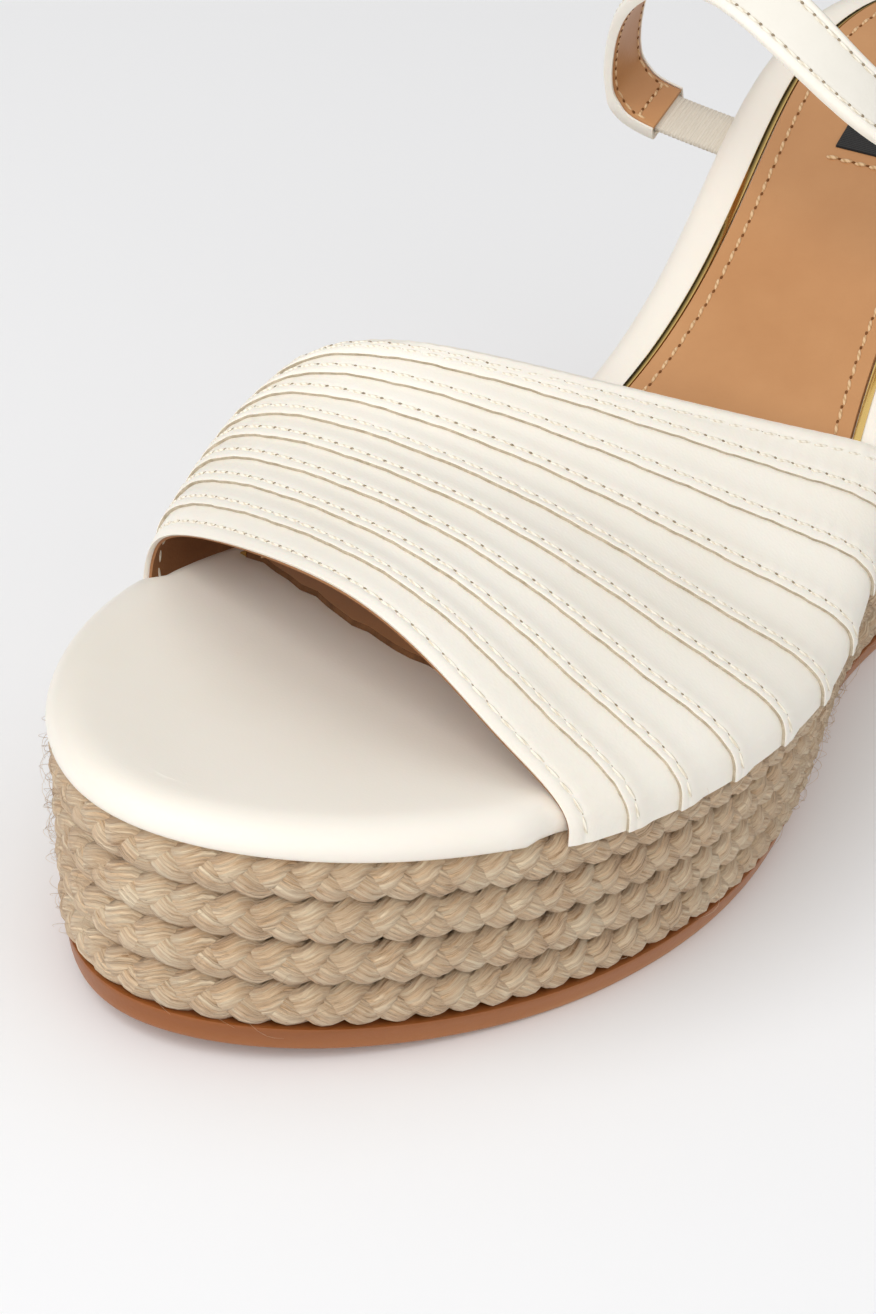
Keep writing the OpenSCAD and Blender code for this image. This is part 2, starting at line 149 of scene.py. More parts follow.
def leatherMaterial(name, settings):
    # pigment-coated leather: an even satin film over a fine pebble grain, slightly mottled
    material, tree, shader = startMaterial(name, {
        "Roughness": settings["roughness"], "IOR": 1.5, "Specular IOR Level": settings["specular"],
        "Subsurface Weight": settings.get("subsurface", 0.0), "Subsurface Scale": 1.2 * mm})
    place = addNode(tree, "ShaderNodeTexCoord")
    mottle = addNode(tree, "ShaderNodeTexNoise", {}, {
        "Vector": place.outputs["Object"], "Scale": 1000 / settings["mottleSize"], "Detail": 4, "Roughness": 0.6})
    grain = addNode(tree, "ShaderNodeTexVoronoi", {"feature": "SMOOTH_F1"}, {
        "Vector": place.outputs["Object"], "Scale": 1000 / settings["grainSize"], "Smoothness": 0.6})
    waves = addNode(tree, "ShaderNodeTexNoise", {}, {
        "Vector": place.outputs["Object"], "Scale": 1000 / settings["creaseSize"], "Detail": 3})
    height = addNode(tree, "ShaderNodeMath", {"operation": "MULTIPLY_ADD"}, {
        0: waves.outputs["Fac"], 1: 2.0, 2: grain.outputs["Distance"]})
    finishSurface(tree, shader, mottle.outputs["Fac"], [(0.3, settings["dark"]), (0.7, settings["light"])],
                  height.outputs["Value"], settings["reliefStrength"], settings["reliefDepth"])
    return material


# cream box calf: satin, almost smooth, a warm off-white
creamLeather = leatherMaterial("creamBoxCalf", {
    "light": "#f7f1e6", "dark": "#f1eadd", "roughness": 0.42, "specular": 0.42, "mottleSize": 35,
    "grainSize": 0.55, "creaseSize": 6, "reliefStrength": 0.25, "reliefDepth": 0.08, "subsurface": 0.06})
# the padded sock under the toes: the same calf, stretched smooth
coverLeather = leatherMaterial("creamStretchedCalf", {
    "light": "#f5eee3", "dark": "#f0e9dc", "roughness": 0.36, "specular": 0.45, "mottleSize": 45,
    "grainSize": 0.5, "creaseSize": 14, "reliefStrength": 0.16, "reliefDepth": 0.06, "subsurface": 0.06})
# the middle of the ankle strap: the same calf, a shade greyer between its stitches; the grey is painted shade on the
# strap's face
strapShadedFace = leatherMaterial("creamCalfPaintedShade", {
    "light": "#e9e5db", "dark": "#e2ddd2", "roughness": 0.38, "specular": 0.42, "mottleSize": 30,
    "grainSize": 0.5, "creaseSize": 8, "reliefStrength": 0.2, "reliefDepth": 0.06})
# tan goat lining leather: smooth, a little warmer in patches where it has been handled
tanLeather = leatherMaterial("tanSockLeather", {
    "light": "#c39061", "dark": "#b88456", "roughness": 0.46, "specular": 0.42, "mottleSize": 28,
    "grainSize": 0.7, "creaseSize": 9, "reliefStrength": 0.3, "reliefDepth": 0.08})
# tan microfibre: matt and darker, with the faintest nap; its colour is darkened further as painted shade for the
# lining seen under the vamp
tanLiningShaded = leatherMaterial("tanMicrofibrePaintedShade", {
    "light": "#a3744e", "dark": "#966846", "roughness": 0.75, "specular": 0.25, "mottleSize": 12,
    "grainSize": 0.4, "creaseSize": 3, "reliefStrength": 0.4, "reliefDepth": 0.07})
# front edge of the sock: dark brown
darkSockFrontEdge = leatherMaterial("darkSockFrontEdge", {
    "light": "#7d5433", "dark": "#5f3e24", "roughness": 0.5, "specular": 0.35, "mottleSize": 2,
    "grainSize": 0.4, "creaseSize": 1.5, "reliefStrength": 0.5, "reliefDepth": 0.1})
# raw cut edge of the strips: chalky grey-beige corium with a fibrous face
cutEdge = leatherMaterial("rawCutEdge", {
    "light": "#cdc1ad", "dark": "#ab9d86", "roughness": 0.85, "specular": 0.2, "mottleSize": 1.6,
    "grainSize": 0.3, "creaseSize": 1.1, "reliefStrength": 0.7, "reliefDepth": 0.12})
# latex foam and cork wedge: hidden, matt, speckled
corkWedge = leatherMaterial("corkWedge", {
    "light": "#d8c29a", "dark": "#b08d5f", "roughness": 0.9, "specular": 0.2, "mottleSize": 4,
    "grainSize": 1.5, "creaseSize": 3, "reliefStrength": 0.6, "reliefDepth": 0.3})
latexFoam = leatherMaterial("latexFoam", {
    "light": "#eee3c8", "dark": "#e2d4b4", "roughness": 0.95, "specular": 0.15, "mottleSize": 6,
    "grainSize": 0.8, "creaseSize": 3, "reliefStrength": 0.6, "reliefDepth": 0.2})
texonBoard = leatherMaterial("texonBoard", {
    "light": "#94785a", "dark": "#7c6247", "roughness": 0.9, "specular": 0.2, "mottleSize": 5,
    "grainSize": 0.9, "creaseSize": 3, "reliefStrength": 0.5, "reliefDepth": 0.1})


def threadMaterial(name, light, dark):
    # bonded polyester thread: a soft sheen, with the ply twist showing as fine slants
    material, tree, shader = startMaterial(name, {
        "Roughness": 0.55, "IOR": 1.5, "Specular IOR Level": 0.35, "Sheen Weight": 0.15})
    place = addNode(tree, "ShaderNodeTexCoord")
    plies = addNode(tree, "ShaderNodeTexWave", {"wave_type": "BANDS", "bands_direction": "DIAGONAL"}, {
        "Vector": place.outputs["Object"], "Scale": 1000 / 0.35 / 6.28, "Distortion": 0.6})
    finishSurface(tree, shader, plies.outputs["Fac"], [(0.0, dark), (0.6, light)], plies.outputs["Fac"], 0.5, 0.06)
    return material


creamThread = threadMaterial("creamPolyesterThread", "#f3ecdd", "#ddd2bd")
tanThread = threadMaterial("tanPolyesterThread", "#e3c195", "#c39a6b")


def juteMaterial(name, light, middle, dark):
    # retted jute yarn: dry, straw-coloured, streaked along the fibres, with a faint silky sheen
    material, tree, shader = startMaterial(name, {
        "Roughness": 0.72, "IOR": 1.45, "Specular IOR Level": 0.35, "Sheen Weight": 0.25, "Sheen Roughness": 0.5})
    place = addNode(tree, "ShaderNodeTexCoord")
    # fibres about 0.4 mm apart and 6 mm long, coarser than real ones so that they show
    stretch = addNode(tree, "ShaderNodeMapping", {}, {
        "Vector": place.outputs["UV"], "Rotation": (0, 0, 0.12), "Scale": (1 / 0.42, 1 / 6.0, 1)})
    fibres = addNode(tree, "ShaderNodeTexNoise", {"noise_dimensions": "2D"}, {
        "Vector": stretch.outputs["Vector"], "Scale": 1.0, "Detail": 6, "Roughness": 0.75, "Distortion": 0.5})
    clouds = addNode(tree, "ShaderNodeTexNoise", {}, {
        "Vector": place.outputs["Object"], "Scale": 1000 / 9, "Detail": 3})
    blend = addNode(tree, "ShaderNodeMath", {"operation": "MULTIPLY_ADD"}, {
        0: clouds.outputs["Fac"], 1: 0.35, 2: fibres.outputs["Fac"]})
    finishSurface(tree, shader, blend.outputs["Value"], [(0.46, dark), (0.6, middle), (0.84, light)],
                  fibres.outputs["Fac"], 1.0, 0.55)
    return material


juteYarn = juteMaterial("juteYarn", "#efdbbb", "#d6b48e", "#a07b55")
# the backing's dark jute tones are painted shade in the gaps between the plaits
juteShade = juteMaterial("juteBackingPaintedShade", "#a98a66", "#8d7052", "#6b523a")


def gumMaterial():
    # moulded gum rubber: amber brown, satin, paler towards the lower edge and darker towards the top
    material, tree, shader = startMaterial("gumRubber", {
        "Roughness": 0.42, "IOR": 1.52, "Specular IOR Level": 0.45, "Subsurface Weight": 0.12,
        "Subsurface Radius": (1.0, 0.5, 0.25), "Subsurface Scale": 2 * mm})
    place = addNode(tree, "ShaderNodeTexCoord")
    axes = addNode(tree, "ShaderNodeSeparateXYZ", {}, {"Vector": place.outputs["Object"]})
    toneWobble = addNode(tree, "ShaderNodeTexNoise", {}, {
        "Vector": place.outputs["Object"], "Scale": 1000 / 14, "Detail": 4})
    lift = addNode(tree, "ShaderNodeMath", {"operation": "MULTIPLY_ADD"}, {
        0: toneWobble.outputs["Fac"], 1: 0.0015, 2: axes.outputs["Z"]})
    # the colour runs by height, from pale at the lower edge to dark at the top, with a noise wobble
    heightTone = addNode(tree, "ShaderNodeMapRange", {}, {
        "Value": lift.outputs["Value"], "From Min": 0.5 * mm, "From Max": 6.2 * mm})
    tread = addNode(tree, "ShaderNodeTexWave", {"bands_direction": "Y", "wave_profile": "SAW"}, {
        "Vector": place.outputs["Object"], "Scale": 1000 / 3.0 / 6.28, "Distortion": 0.0})
    under = addNode(tree, "ShaderNodeMath", {"operation": "LESS_THAN"}, {0: axes.outputs["Z"], 1: 0.2 * mm})
    cut = addNode(tree, "ShaderNodeMath", {"operation": "MULTIPLY"}, {
        0: tread.outputs["Fac"], 1: under.outputs["Value"]})
    skin = addNode(tree, "ShaderNodeTexNoise", {}, {
        "Vector": place.outputs["Object"], "Scale": 1000 / 0.8, "Detail": 2})
    height = addNode(tree, "ShaderNodeMath", {"operation": "MULTIPLY_ADD"}, {
        0: skin.outputs["Fac"], 1: 0.15, 2: cut.outputs["Value"]})
    finishSurface(tree, shader, heightTone.outputs["Result"], [(0.0, "#c48c56"), (0.3, "#ab6c39"), (1.0, "#8f5325")],
                  height.outputs["Value"], 0.6, 0.5)
    return material


gumRubber = gumMaterial()


def metalMaterial(name, colour, roughness, scuff):
    # plated metal: bright, with hairline scuffs that only show in its gloss
    material, tree, shader = startMaterial(name, {
        "Base Color": toLinear(colour), "Metallic": 1.0, "Roughness": roughness})
    place = addNode(tree, "ShaderNodeTexCoord")
    haze = addNode(tree, "ShaderNodeTexNoise", {}, {
        "Vector": place.outputs["Object"], "Scale": 1000 / 1.5, "Detail": 4})
    gloss = addNode(tree, "ShaderNodeMapRange", {}, {
        "Value": haze.outputs["Fac"], "To Min": roughness, "To Max": roughness + scuff})
    tree.links.new(gloss.outputs["Result"], shader.inputs["Roughness"])
    relief = addNode(tree, "ShaderNodeBump", {}, {
        "Strength": 0.15, "Distance": 0.03 * mm, "Height": haze.outputs["Fac"]})
    tree.links.new(relief.outputs["Normal"], shader.inputs["Normal"])
    return material


goldFoil = metalMaterial("goldMirrorFoil", "#d9b872", 0.12, 0.1)
buckleMetal = metalMaterial("lightGoldPlatedZinc", "#dcc08a", 0.16, 0.12)
springSteel = metalMaterial("springSteel", "#b4b8bc", 0.32, 0.15)


def wovenMaterial(name, light, dark, pitch, roughness):
    # woven narrow fabric: ribs across its length over a fine warp
    material, tree, shader = startMaterial(name, {
        "Roughness": roughness, "IOR": 1.5, "Specular IOR Level": 0.3, "Sheen Weight": 0.2})
    place = addNode(tree, "ShaderNodeTexCoord")
    ribs = addNode(tree, "ShaderNodeTexWave", {"bands_direction": "Y"}, {
        "Vector": place.outputs["UV"], "Scale": 0.5 / pitch, "Distortion": 0.3, "Detail": 2})
    warp = addNode(tree, "ShaderNodeTexWave", {"bands_direction": "X"}, {
        "Vector": place.outputs["UV"], "Scale": 1 / 0.5, "Distortion": 0.4})
    weave = addNode(tree, "ShaderNodeMath", {"operation": "MULTIPLY"}, {
        0: ribs.outputs["Fac"], 1: warp.outputs["Fac"]})
    finishSurface(tree, shader, weave.outputs["Value"], [(0.0, dark), (0.6, light)], weave.outputs["Value"], 0.5, 0.15)
    return material


creamElastic = wovenMaterial("creamRibbedElastic", "#f2ebdd", "#d9cfbd", 0.8, 0.7)
blackPatch = wovenMaterial("blackWovenTape", "#2a2928", "#141313", 0.5, 0.6)


def holeMaterial(name, light, dark):
    # needle holes: only the shade inside the hole shows
    material, tree, shader = startMaterial(name, {"Roughness": 0.9, "Specular IOR Level": 0.1})
    place = addNode(tree, "ShaderNodeTexCoord")
    fray = addNode(tree, "ShaderNodeTexNoise", {}, {"Vector": place.outputs["Object"], "Scale": 1000 / 0.5})
    finishSurface(tree, shader, fray.outputs["Fac"], [(0.3, dark), (0.7, light)])
    return material


needleHole = holeMaterial("needleHoleInTan", "#825634", "#6b4526")
creamHole = holeMaterial("needleHoleInCream", "#ab9b84", "#8f7f69")


def paperMaterial(name, low, high):
    # studio paper: plain and matt
    material, tree, shader = startMaterial(name, {
        "Roughness": 0.95, "Specular IOR Level": 0.1, "Emission Color": (1, 1, 1, 1), "Emission Strength": 0.07})
    place = addNode(tree, "ShaderNodeTexCoord")
    tooth = addNode(tree, "ShaderNodeTexNoise", {}, {"Vector": place.outputs["Object"], "Scale": 3, "Detail": 2})
    finishSurface(tree, shader, tooth.outputs["Fac"], [(0.0, low), (1.0, high)])
    return material


backdropPaper = paperMaterial("backdropPaper", "#ededee", "#eeeeef")
print("materials made")


# the footbed seen from above: control points of its outline, then its heights
footbed = {
    "outline": [(-11, -126), (14, -118), (33, -94), (45, -63), (48, -28), (40, 8), (25, 45), (27, 81), (15, 116),
                (-2, 124), (-20, 117), (-29, 82), (-17, 41), (-21, 1), (-43, -38), (-48, -71), (-34, -106)],
    "soleThick": 4.0, "toeHeight": 32.7, "heelRise": 55.4, "toeSpring": 3.6,
    "wallInset": 3.9, "coverHeight": 5.5,
    "stations": 96,
}


def splineAt(k, u):
    # closed cubic curve through the outline: place and outward normal
    pts = [Vector(footbed["outline"][(k + i) % len(footbed["outline"])]) for i in (-1, 0, 1, 2)]
    w = ((1 - u) ** 3, 3 * u ** 3 - 6 * u * u + 4, 1 + 3 * u + 3 * u * u - 3 * u ** 3, u ** 3)
    d = (-(1 - u) ** 2, 3 * u * u - 4 * u, 1 + 2 * u - 3 * u * u, u * u)
    place = sum((p * q for p, q in zip(pts, w)), Vector((0, 0))) / 6
    way = sum((p * q for p, q in zip(pts, d)), Vector((0, 0))) / 2
    return place, Vector((way.y, -way.x)).normalized()


edge = [splineAt(k, s / 30) for k in range(len(footbed["outline"])) for s in range(30)]
toeAt = min(range(len(edge)), key=lambda i: edge[i][0].y)
edge = edge[toeAt:] + edge[:toeAt]
heelAt = max(range(len(edge)), key=lambda i: edge[i][0].y)
sides = {True: edge[:heelAt + 1], False: list(reversed(edge[heelAt:])) + [edge[0]]}
sideYs = {outer: [p.y for p, n in side] for outer, side in sides.items()}


def rimAt(y, outer):
    # the rim at a station, on the outer or the inner side
    ys, side = sideYs[outer], sides[outer]
    i = clamp(bisect.bisect_right(ys, y) - 1, 0, len(ys) - 2)
    f = clamp((y - ys[i]) / max(1e-9, ys[i + 1] - ys[i]))
    return side[i][0].lerp(side[i + 1][0], f), side[i][1].lerp(side[i + 1][1], f).normalized()


def springAt(y):
    return footbed["toeSpring"] * max(0.0, (-62 - y) / 60) ** 1.7


def riseAt(y):
    return footbed["heelRise"] * smooth((y + 18) / 127)


def rimHeight(y):
    return footbed["toeHeight"] + riseAt(y) + springAt(y)


def wallInset(y, z):
    low, high = footbed["soleThick"] + springAt(y), rimHeight(y)
    return footbed["wallInset"] * clamp((high - z) / (high - low))


toeY, heelY = sideYs[True][0], sideYs[True][-1]
half = footbed["stations"]
stationYs = [(toeY + heelY) / 2 - (heelY - toeY) / 2 * math.cos(math.pi * j / half) for j in range(half + 1)]
loop = [(edge[0][0], Vector((0, -1)))] + [rimAt(y, True) for y in stationYs[1:half]] \
    + [(edge[heelAt][0], Vector((0, 1)))] + [rimAt(y, False) for y in reversed(stationYs[1:half])]
around = len(loop)


def ringPoint(i, inset, height, onRim=True):
    place, out = loop[i % around]
    p = place - out * inset
    return Vector((p.x, p.y, (rimHeight(p.y) if onRim else springAt(p.y)) + height))


def curveThrough(points, t):
    # smooth curve through points, t from 0 to 1
    n = len(points) - 1
    i = min(n - 1, int(t * n))
    u = t * n - i
    a, b, c, d = [Vector(points[int(clamp(i + j, 0, n))]) for j in (-1, 0, 1, 2)]
    return 0.5 * (2 * b + (c - a) * u + (2 * a - 5 * b + 4 * c - d) * u * u + (3 * b - a - 3 * c + d) * u ** 3)


def padPatch(bm, profile, steps, acrossSteps, onRim=True, crown=0.0, wrap=lambda i: 0.0):
    # side wall by a profile of (inset, height), closed by a cap of rungs from side to side
    def wall(u, w):
        inset, height = curveThrough(profile, w)
        i = round(u * around) % around
        return ringPoint(i, inset + wrap(i) * (1 - smooth((w - 0.62) / 0.38)), height, onRim)
    gridPatch(bm, around, steps, wall, (600, 12))

    def cap(end, lift):
        inset, height = profile[end]

        def rung(u, w):
            j = round(w * half)
            extra = 0 if end else wrap(j)
            a = ringPoint(j, inset + extra, height, onRim)
            b = ringPoint(around - j, inset + extra, height, onRim)
            p = a.lerp(b, u)
            dome = lift * (1 - (2 * u - 1) ** 2) * math.sin(math.pi * clamp(w, 0.02, 0.98)) ** 0.5
            p.z = (rimHeight(p.y) if onRim else springAt(p.y)) + height + dome
            if u in (0.0, 1.0) or j in (0, half):
                p.z = (a if u < 0.5 else b).z
            return p
        return rung
    gridPatch(bm, acrossSteps, half, cap(-1, crown), (80, 250))
    gridPatch(bm, acrossSteps, half, cap(0, 0.0), (80, 250))


# (inset from the rim, height over the ground), from the tread up
outsole = {"profile": [(6.3, 0.0), (5.75, 0.25), (5.4, 1.1), (5.1, 2.2), (4.8, 3.3), (4.8, 3.85), (5.4, 4.0)]}
bm = bmesh.new()
padPatch(bm, outsole["profile"], 12, 10, onRim=False)
closeMesh(bm)
addPiece(bm, "gumOutsole", [gumRubber], "shoe", ["outsole"])
print("outsole made")


plait = {
    "pitch": 7.175, "heelPitch": 6.8, "heelRows": 8, "heelHalf": 3.36, "leastRoom": 1.4,
    "period": 15.8,    # one strand from edge to edge and back
    "sway": 1.6,       # how far a strand wanders up and down
    "weave": 0.85,     # how far it goes in and out
    "yarnWide": 2.25, "yarnDeep": 1.3, "rowHalf": 3.5, "crown": 1.1,
    "ringStep": 0.85, "sides": 10, "tangentStep": 0.4, "pressFrom": 0.9, "strays": 900,
}


def measure(points, closed):
    lengths = [0.0]
    ring = points + [points[0]] if closed else points
    for a, b in zip(ring, ring[1:]):
        lengths.append(lengths[-1] + (b[0] - a[0]).length)
    return ring, lengths


def along(path, s):
    ring, lengths = path
    i = int(clamp(bisect.bisect_right(lengths, s) - 1, 0, len(lengths) - 2))
    f = clamp((s - lengths[i]) / max(1e-9, lengths[i + 1] - lengths[i]))
    return [mix(a, b, f) for a, b in zip(ring[i], ring[i + 1])]


def plaitRow(name, points, closed, node):
    # three strands swap places; each item of points is (centre, outward, squeeze)
    path = measure(points, closed)
    total = path[1][-1]
    periods = round(total / plait["period"]) if closed else total / plait["period"]
    rings = round(total / plait["ringStep"])
    bm = bmesh.new()

    def strandCentre(s, j):
        if closed:
            s %= total
        centre, out, squeeze = along(path, s)
        theta = 2 * math.pi * (periods * s / total + j / 3)
        wander = 0.10 * math.sin(s * 0.37 + j * 2.1) + 0.07 * math.sin(s * 0.91 + j)
        up = Vector((0, 0, 1))
        swing = (math.sin(theta) - 0.11 * math.sin(3 * theta)) / 1.11
        return centre + up * (plait["sway"] * squeeze * swing + wander) \
            + out * (plait["weave"] * squeeze * math.sin(2 * theta)), out, squeeze

    middles = [along(path, total * r / rings)[0].z for r in range(rings + 1)]
    for j in range(3):
        frames = []
        for r in range(rings + 1):
            s = total * r / rings
            here, out, squeeze = strandCentre(s, j)
            step = plait["tangentStep"]
            ahead = strandCentre(s + step if closed else min(total, s + step), j)[0]
            behind = strandCentre(s - step if closed else max(0, s - step), j)[0]
            way = (ahead - behind).normalized()
            side = out.cross(way).normalized()
            face = way.cross(side).normalized()
            frames.append((here, side, face, squeeze, out))
        if closed:
            frames[-1] = frames[0]

        def yarn(u, w):
            here, side, face, squeeze, out = frames[round(w * rings)]
            angle = 2 * math.pi * (round(u * plait["sides"]) % plait["sides"]) / plait["sides"]
            lump = 1 + 0.06 * math.sin(4 * angle + w * total * 0.9 + j)
            p = here + side * (plait["yarnWide"] * squeeze * lump * math.cos(angle)) \
                + face * (plait["yarnDeep"] * (0.4 + 0.6 * squeeze) * lump * math.sin(angle))
            # neighbouring rows press each plait flat above and below
            limit = plait["rowHalf"] * squeeze
            off = p.z - middles[round(w * rings)]
            p -= out * (plait["crown"] * squeeze * clamp(abs(off) / limit) ** 3)
            free, give = limit * plait["pressFrom"], limit * 0.1
            over = abs(off) - free
            if over > 0:
                p.z += math.copysign(free + give * (1 - math.exp(-over / give)) - abs(off), off)
            return p
        gridPatch(bm, plait["sides"], rings, yarn, (11.0, total * 1.1))
    closeMesh(bm, 80)
    return addPiece(bm, name, [juteYarn], "shoe", [node])


depth = plait["weave"] + plait["yarnDeep"] + 0.05


def fullRow(drop, level):
    points = []
    for place, out in edge[::3]:
        z = footbed["soleThick"] + springAt(place.y) + drop if level else rimHeight(place.y) - drop
        p = place - out * (wallInset(place.y, z) + depth)
        z = footbed["soleThick"] + springAt(p.y) + drop if level else rimHeight(p.y) - drop
        points.append((Vector((p.x, p.y, z)), Vector((out.x, out.y, 0)), 1.0))
    return points


for row in (1, 2):
    plaitRow("jutePlaitBottom" + str(row), fullRow((row - 0.5) * plait["pitch"], True), True,
             "jute_bottom_row_" + str(row))
    plaitRow("jutePlaitTop" + str(row), fullRow((2.5 - row) * plait["pitch"], False), True,
             "jute_top_row_" + str(row))

for row in range(1, plait["heelRows"] + 1):
    base = footbed["soleThick"] + 2 * plait["pitch"] + (row - 1) * plait["heelPitch"] + 0.1
    points = []
    for place, out in edge:
        room = riseAt(place.y) - (row - 1) * plait["heelPitch"]
        if room < plait["leastRoom"]:
            continue
        tall = min(plait["heelHalf"], room / 2 - 0.2)
        z = base + tall
        p = place - out * (wallInset(place.y, z) + depth)
        points.append((Vector((p.x, p.y, z)), Vector((out.x, out.y, 0)), tall / plait["rowHalf"]))
    plaitRow("jutePlaitHeel" + str(row), points, False, "jute_heel_row_" + str(row))
print("jute plaits made")

# hessian cloth behind the plaits, seen only in their gaps; its dark colour is painted shade between the plaits
bm = bmesh.new()


def backing(u, w):
    i = round(u * around) % around
    place, out = loop[i]
    depthIn = 4.6 if w < 0.5 else 5.4
    f = w * 2 if w < 0.5 else (1 - w) * 2
    z = mix(footbed["soleThick"] + springAt(place.y) + 0.3, rimHeight(place.y) - 0.3, f)
    p = place - out * (wallInset(place.y, z) + depthIn)
    return Vector((p.x, p.y, z))


gridPatch(bm, around, 24, backing, (600, 80))
closeMesh(bm)
addPiece(bm, "juteBacking", [juteShade], "shoe")

# stray fibres standing off the plaits
bm = bmesh.new()
for _ in range(plait["strays"]):
    place, out = random.choice(edge)
    z = random.uniform(footbed["soleThick"] + springAt(place.y) + 2, rimHeight(place.y) - 1)
    inset = wallInset(place.y, z) - 0.05
    out3 = Vector((out.x, out.y, 0))
    tangent = Vector((-out.y, out.x, 0))
    start = Vector((place.x, place.y, z)) - out3 * (inset + 0.7)
    reach, bend = random.uniform(2.5, 8), random.uniform(-1, 1)
    heading = tangent * random.choice((-1, 1)) + Vector((0, 0, random.uniform(-0.8, 0.8)))
    heading.normalize()
    lift = random.uniform(0.5, 1.5)

    def hairPoint(u, w):
        centre = start + heading * reach * w + out3 * (0.6 + lift * math.sin(math.pi * w)) * min(1, w * 4 + 0.2) \
            + Vector((0, 0, bend * w * w * 1.5))
        angle = 2 * math.pi * round(u * 3) / 3
        return centre + (out3 * math.cos(angle) + Vector((0, 0, 1)) * math.sin(angle)) * 0.04 * (1 - 0.6 * w)
    gridPatch(bm, 3, 5, hairPoint, (0.4, 8))
closeMesh(bm, 80, 0.0005)
addPiece(bm, "juteStrayFibres", [juteYarn], "shoe")
print("jute fibres made")


cover = {
    # (inset from the rim, height over it), from under the edge round to the top
    "profile": [(3.4, 0.05), (1.6, 0.0), (0.35, 0.25), (-0.15, 1.3), (-0.1, 2.4),
                (0.55, 3.7), (1.8, 4.7), (3.5, 5.25), (5.2, 5.45), (7.2, 5.5)],
    "wrap": 1.9, "outerWrap": (-82, 31), "innerWrap": (-61, -28),
}


def window(y, start, end):
    return smooth((y - start + 4) / 4) * (1 - smooth((y - end) / 4))


def coverWrap(i):
    # the cover draws in where the vamp passes down between it and the plaits
    place, out = loop[i % around]
    return cover["wrap"] * window(place.y, *cover["outerWrap" if out.x > 0 else "innerWrap"])


bm = bmesh.new()
padPatch(bm, cover["profile"], 22, 16, crown=0.05, wrap=coverWrap)
closeMesh(bm)
pad = addPiece(bm, "paddedCover", [coverLeather], "shoe", ["insole_cover"])
print("cover made")


sock = {
    "frontY": -59.3, "frontTurn": math.radians(-15), "trimInset": 6.7, "trimWide": 1.3,
    "inset": 8.1, "thick": 1.0, "low": footbed["coverHeight"] + 0.12,
    "stitchIn": 2.7,
    "labelAt": (4.2, 74), "labelTurn": math.radians(4), "labelWide": 18, "labelLong": 14,
    "trimSteps": 260, "stations": 110, "across": 24,
}


def frontLineY(x):
    return sock["frontY"] + math.tan(sock["frontTurn"]) * x


def sideStart(outer, inset):
    # the station where the inset edge meets the slanting front line
    low, high = -90.0, -30.0
    for _ in range(40):
        y = (low + high) / 2
        place, out = rimAt(y, outer)
        p = place - out * inset
        if p.y < frontLineY(p.x):
            low = y
        else:
            high = y
    return y


def insetPoint(y, outer, inset, height):
    place, out = rimAt(y, outer)
    p = place - out * inset
    return Vector((p.x, p.y, rimHeight(p.y) + height))


def backRun(inset, steps):
    # stations from the outer front corner round the heel to the inner front corner
    a, b = sideStart(True, inset), sideStart(False, inset)
    run = []
    for k in range(steps + 1):
        t = k / steps
        if t <= 0.5:
            y = heelY - (heelY - a) * math.cos(math.pi * t)
            run.append((y, True))
        else:
            y = heelY - (heelY - b) * math.cos(math.pi * (1 - t))
            run.append((y, False))
    return run


trimRun = backRun(sock["trimInset"], sock["trimSteps"])
bm = bmesh.new()


def trimPoint(u, w):
    y, outer = trimRun[round(w * sock["trimSteps"])]
    place, out = rimAt(y, outer)
    if y > heelY - 0.001:
        place, out = edge[heelAt][0], Vector((0, 1))
    wide, low = sock["trimWide"], sock["low"]
    section = [(0, low), (0.08, low + 0.25), (0.3, low + 0.4), (wide - 0.3, low + 0.75),
               (wide - 0.05, low + 0.75), (wide, low)]
    inset, height = section[round(u * 6) % 6]
    p = place - out * (sock["trimInset"] + inset)
    return Vector((p.x, p.y, rimHeight(p.y) + height))


gridPatch(bm, 6, sock["trimSteps"], trimPoint, (5, 500))
closeMesh(bm, 40)
addPiece(bm, "goldTrim", [goldFoil], "shoe", ["gold_trim"])

starts = {outer: sideStart(outer, sock["inset"]) for outer in (True, False)}


def sockEdge(w, outer, inset):
    y = heelY - (heelY - starts[outer]) * (1 - math.sin(w * math.pi / 2))
    return insetPoint(y, outer, inset, 0)


def sockSurface(inset, height):
    def place(u, w):
        a, b = sockEdge(w, True, inset), sockEdge(w, False, inset)
        p = a.lerp(b, u)
        front = 1 - smooth(w / 0.03)    # only the front edge is cut a little wavy
        p.y += front * (0.35 * math.sin(p.x * 0.55) + 0.25 * math.sin(p.x * 1.13 + 1) + 0.6 * math.sin(p.x * 0.16))
        p.z = rimHeight(p.y) + height
        return p
    return place


bm = bmesh.new()
low, high = sock["low"], sock["low"] + sock["thick"]
for inset, height in ((sock["inset"] + 0.25, high), (sock["inset"], low)):
    gridPatch(bm, sock["across"], sock["stations"], sockSurface(inset, height), (70, 190))
bmesh.ops.remove_doubles(bm, verts=bm.verts, dist=0.002 * mm)
rims = [e for e in bm.edges if e.is_boundary]
bmesh.ops.bridge_loops(bm, edges=rims)
closeMesh(bm, 40)
# the forward-facing edge faces at the sock's front take the dark brown
for f in bm.faces:
    centre = f.calc_center_median() / mm
    if f.normal.y < -0.6 and centre.y < frontLineY(centre.x) + 4:
        f.material_index = 1
insock = addPiece(bm, "tanInsock", [tanLeather, darkSockFrontEdge], "shoe", ["insock"])
soften = insock.modifiers.new("softEdge", "BEVEL")
soften.width = 0.25 * mm
soften.segments = 2
soften.limit_method = "ANGLE"
soften.angle_limit = math.radians(50)


def labelSpot(u, v, height):
    turn = sock["labelTurn"]
    x = sock["labelAt"][0] + math.cos(turn) * u - math.sin(turn) * v
    y = sock["labelAt"][1] + math.sin(turn) * u + math.cos(turn) * v
    return Vector((x, y, rimHeight(y) + high + height))


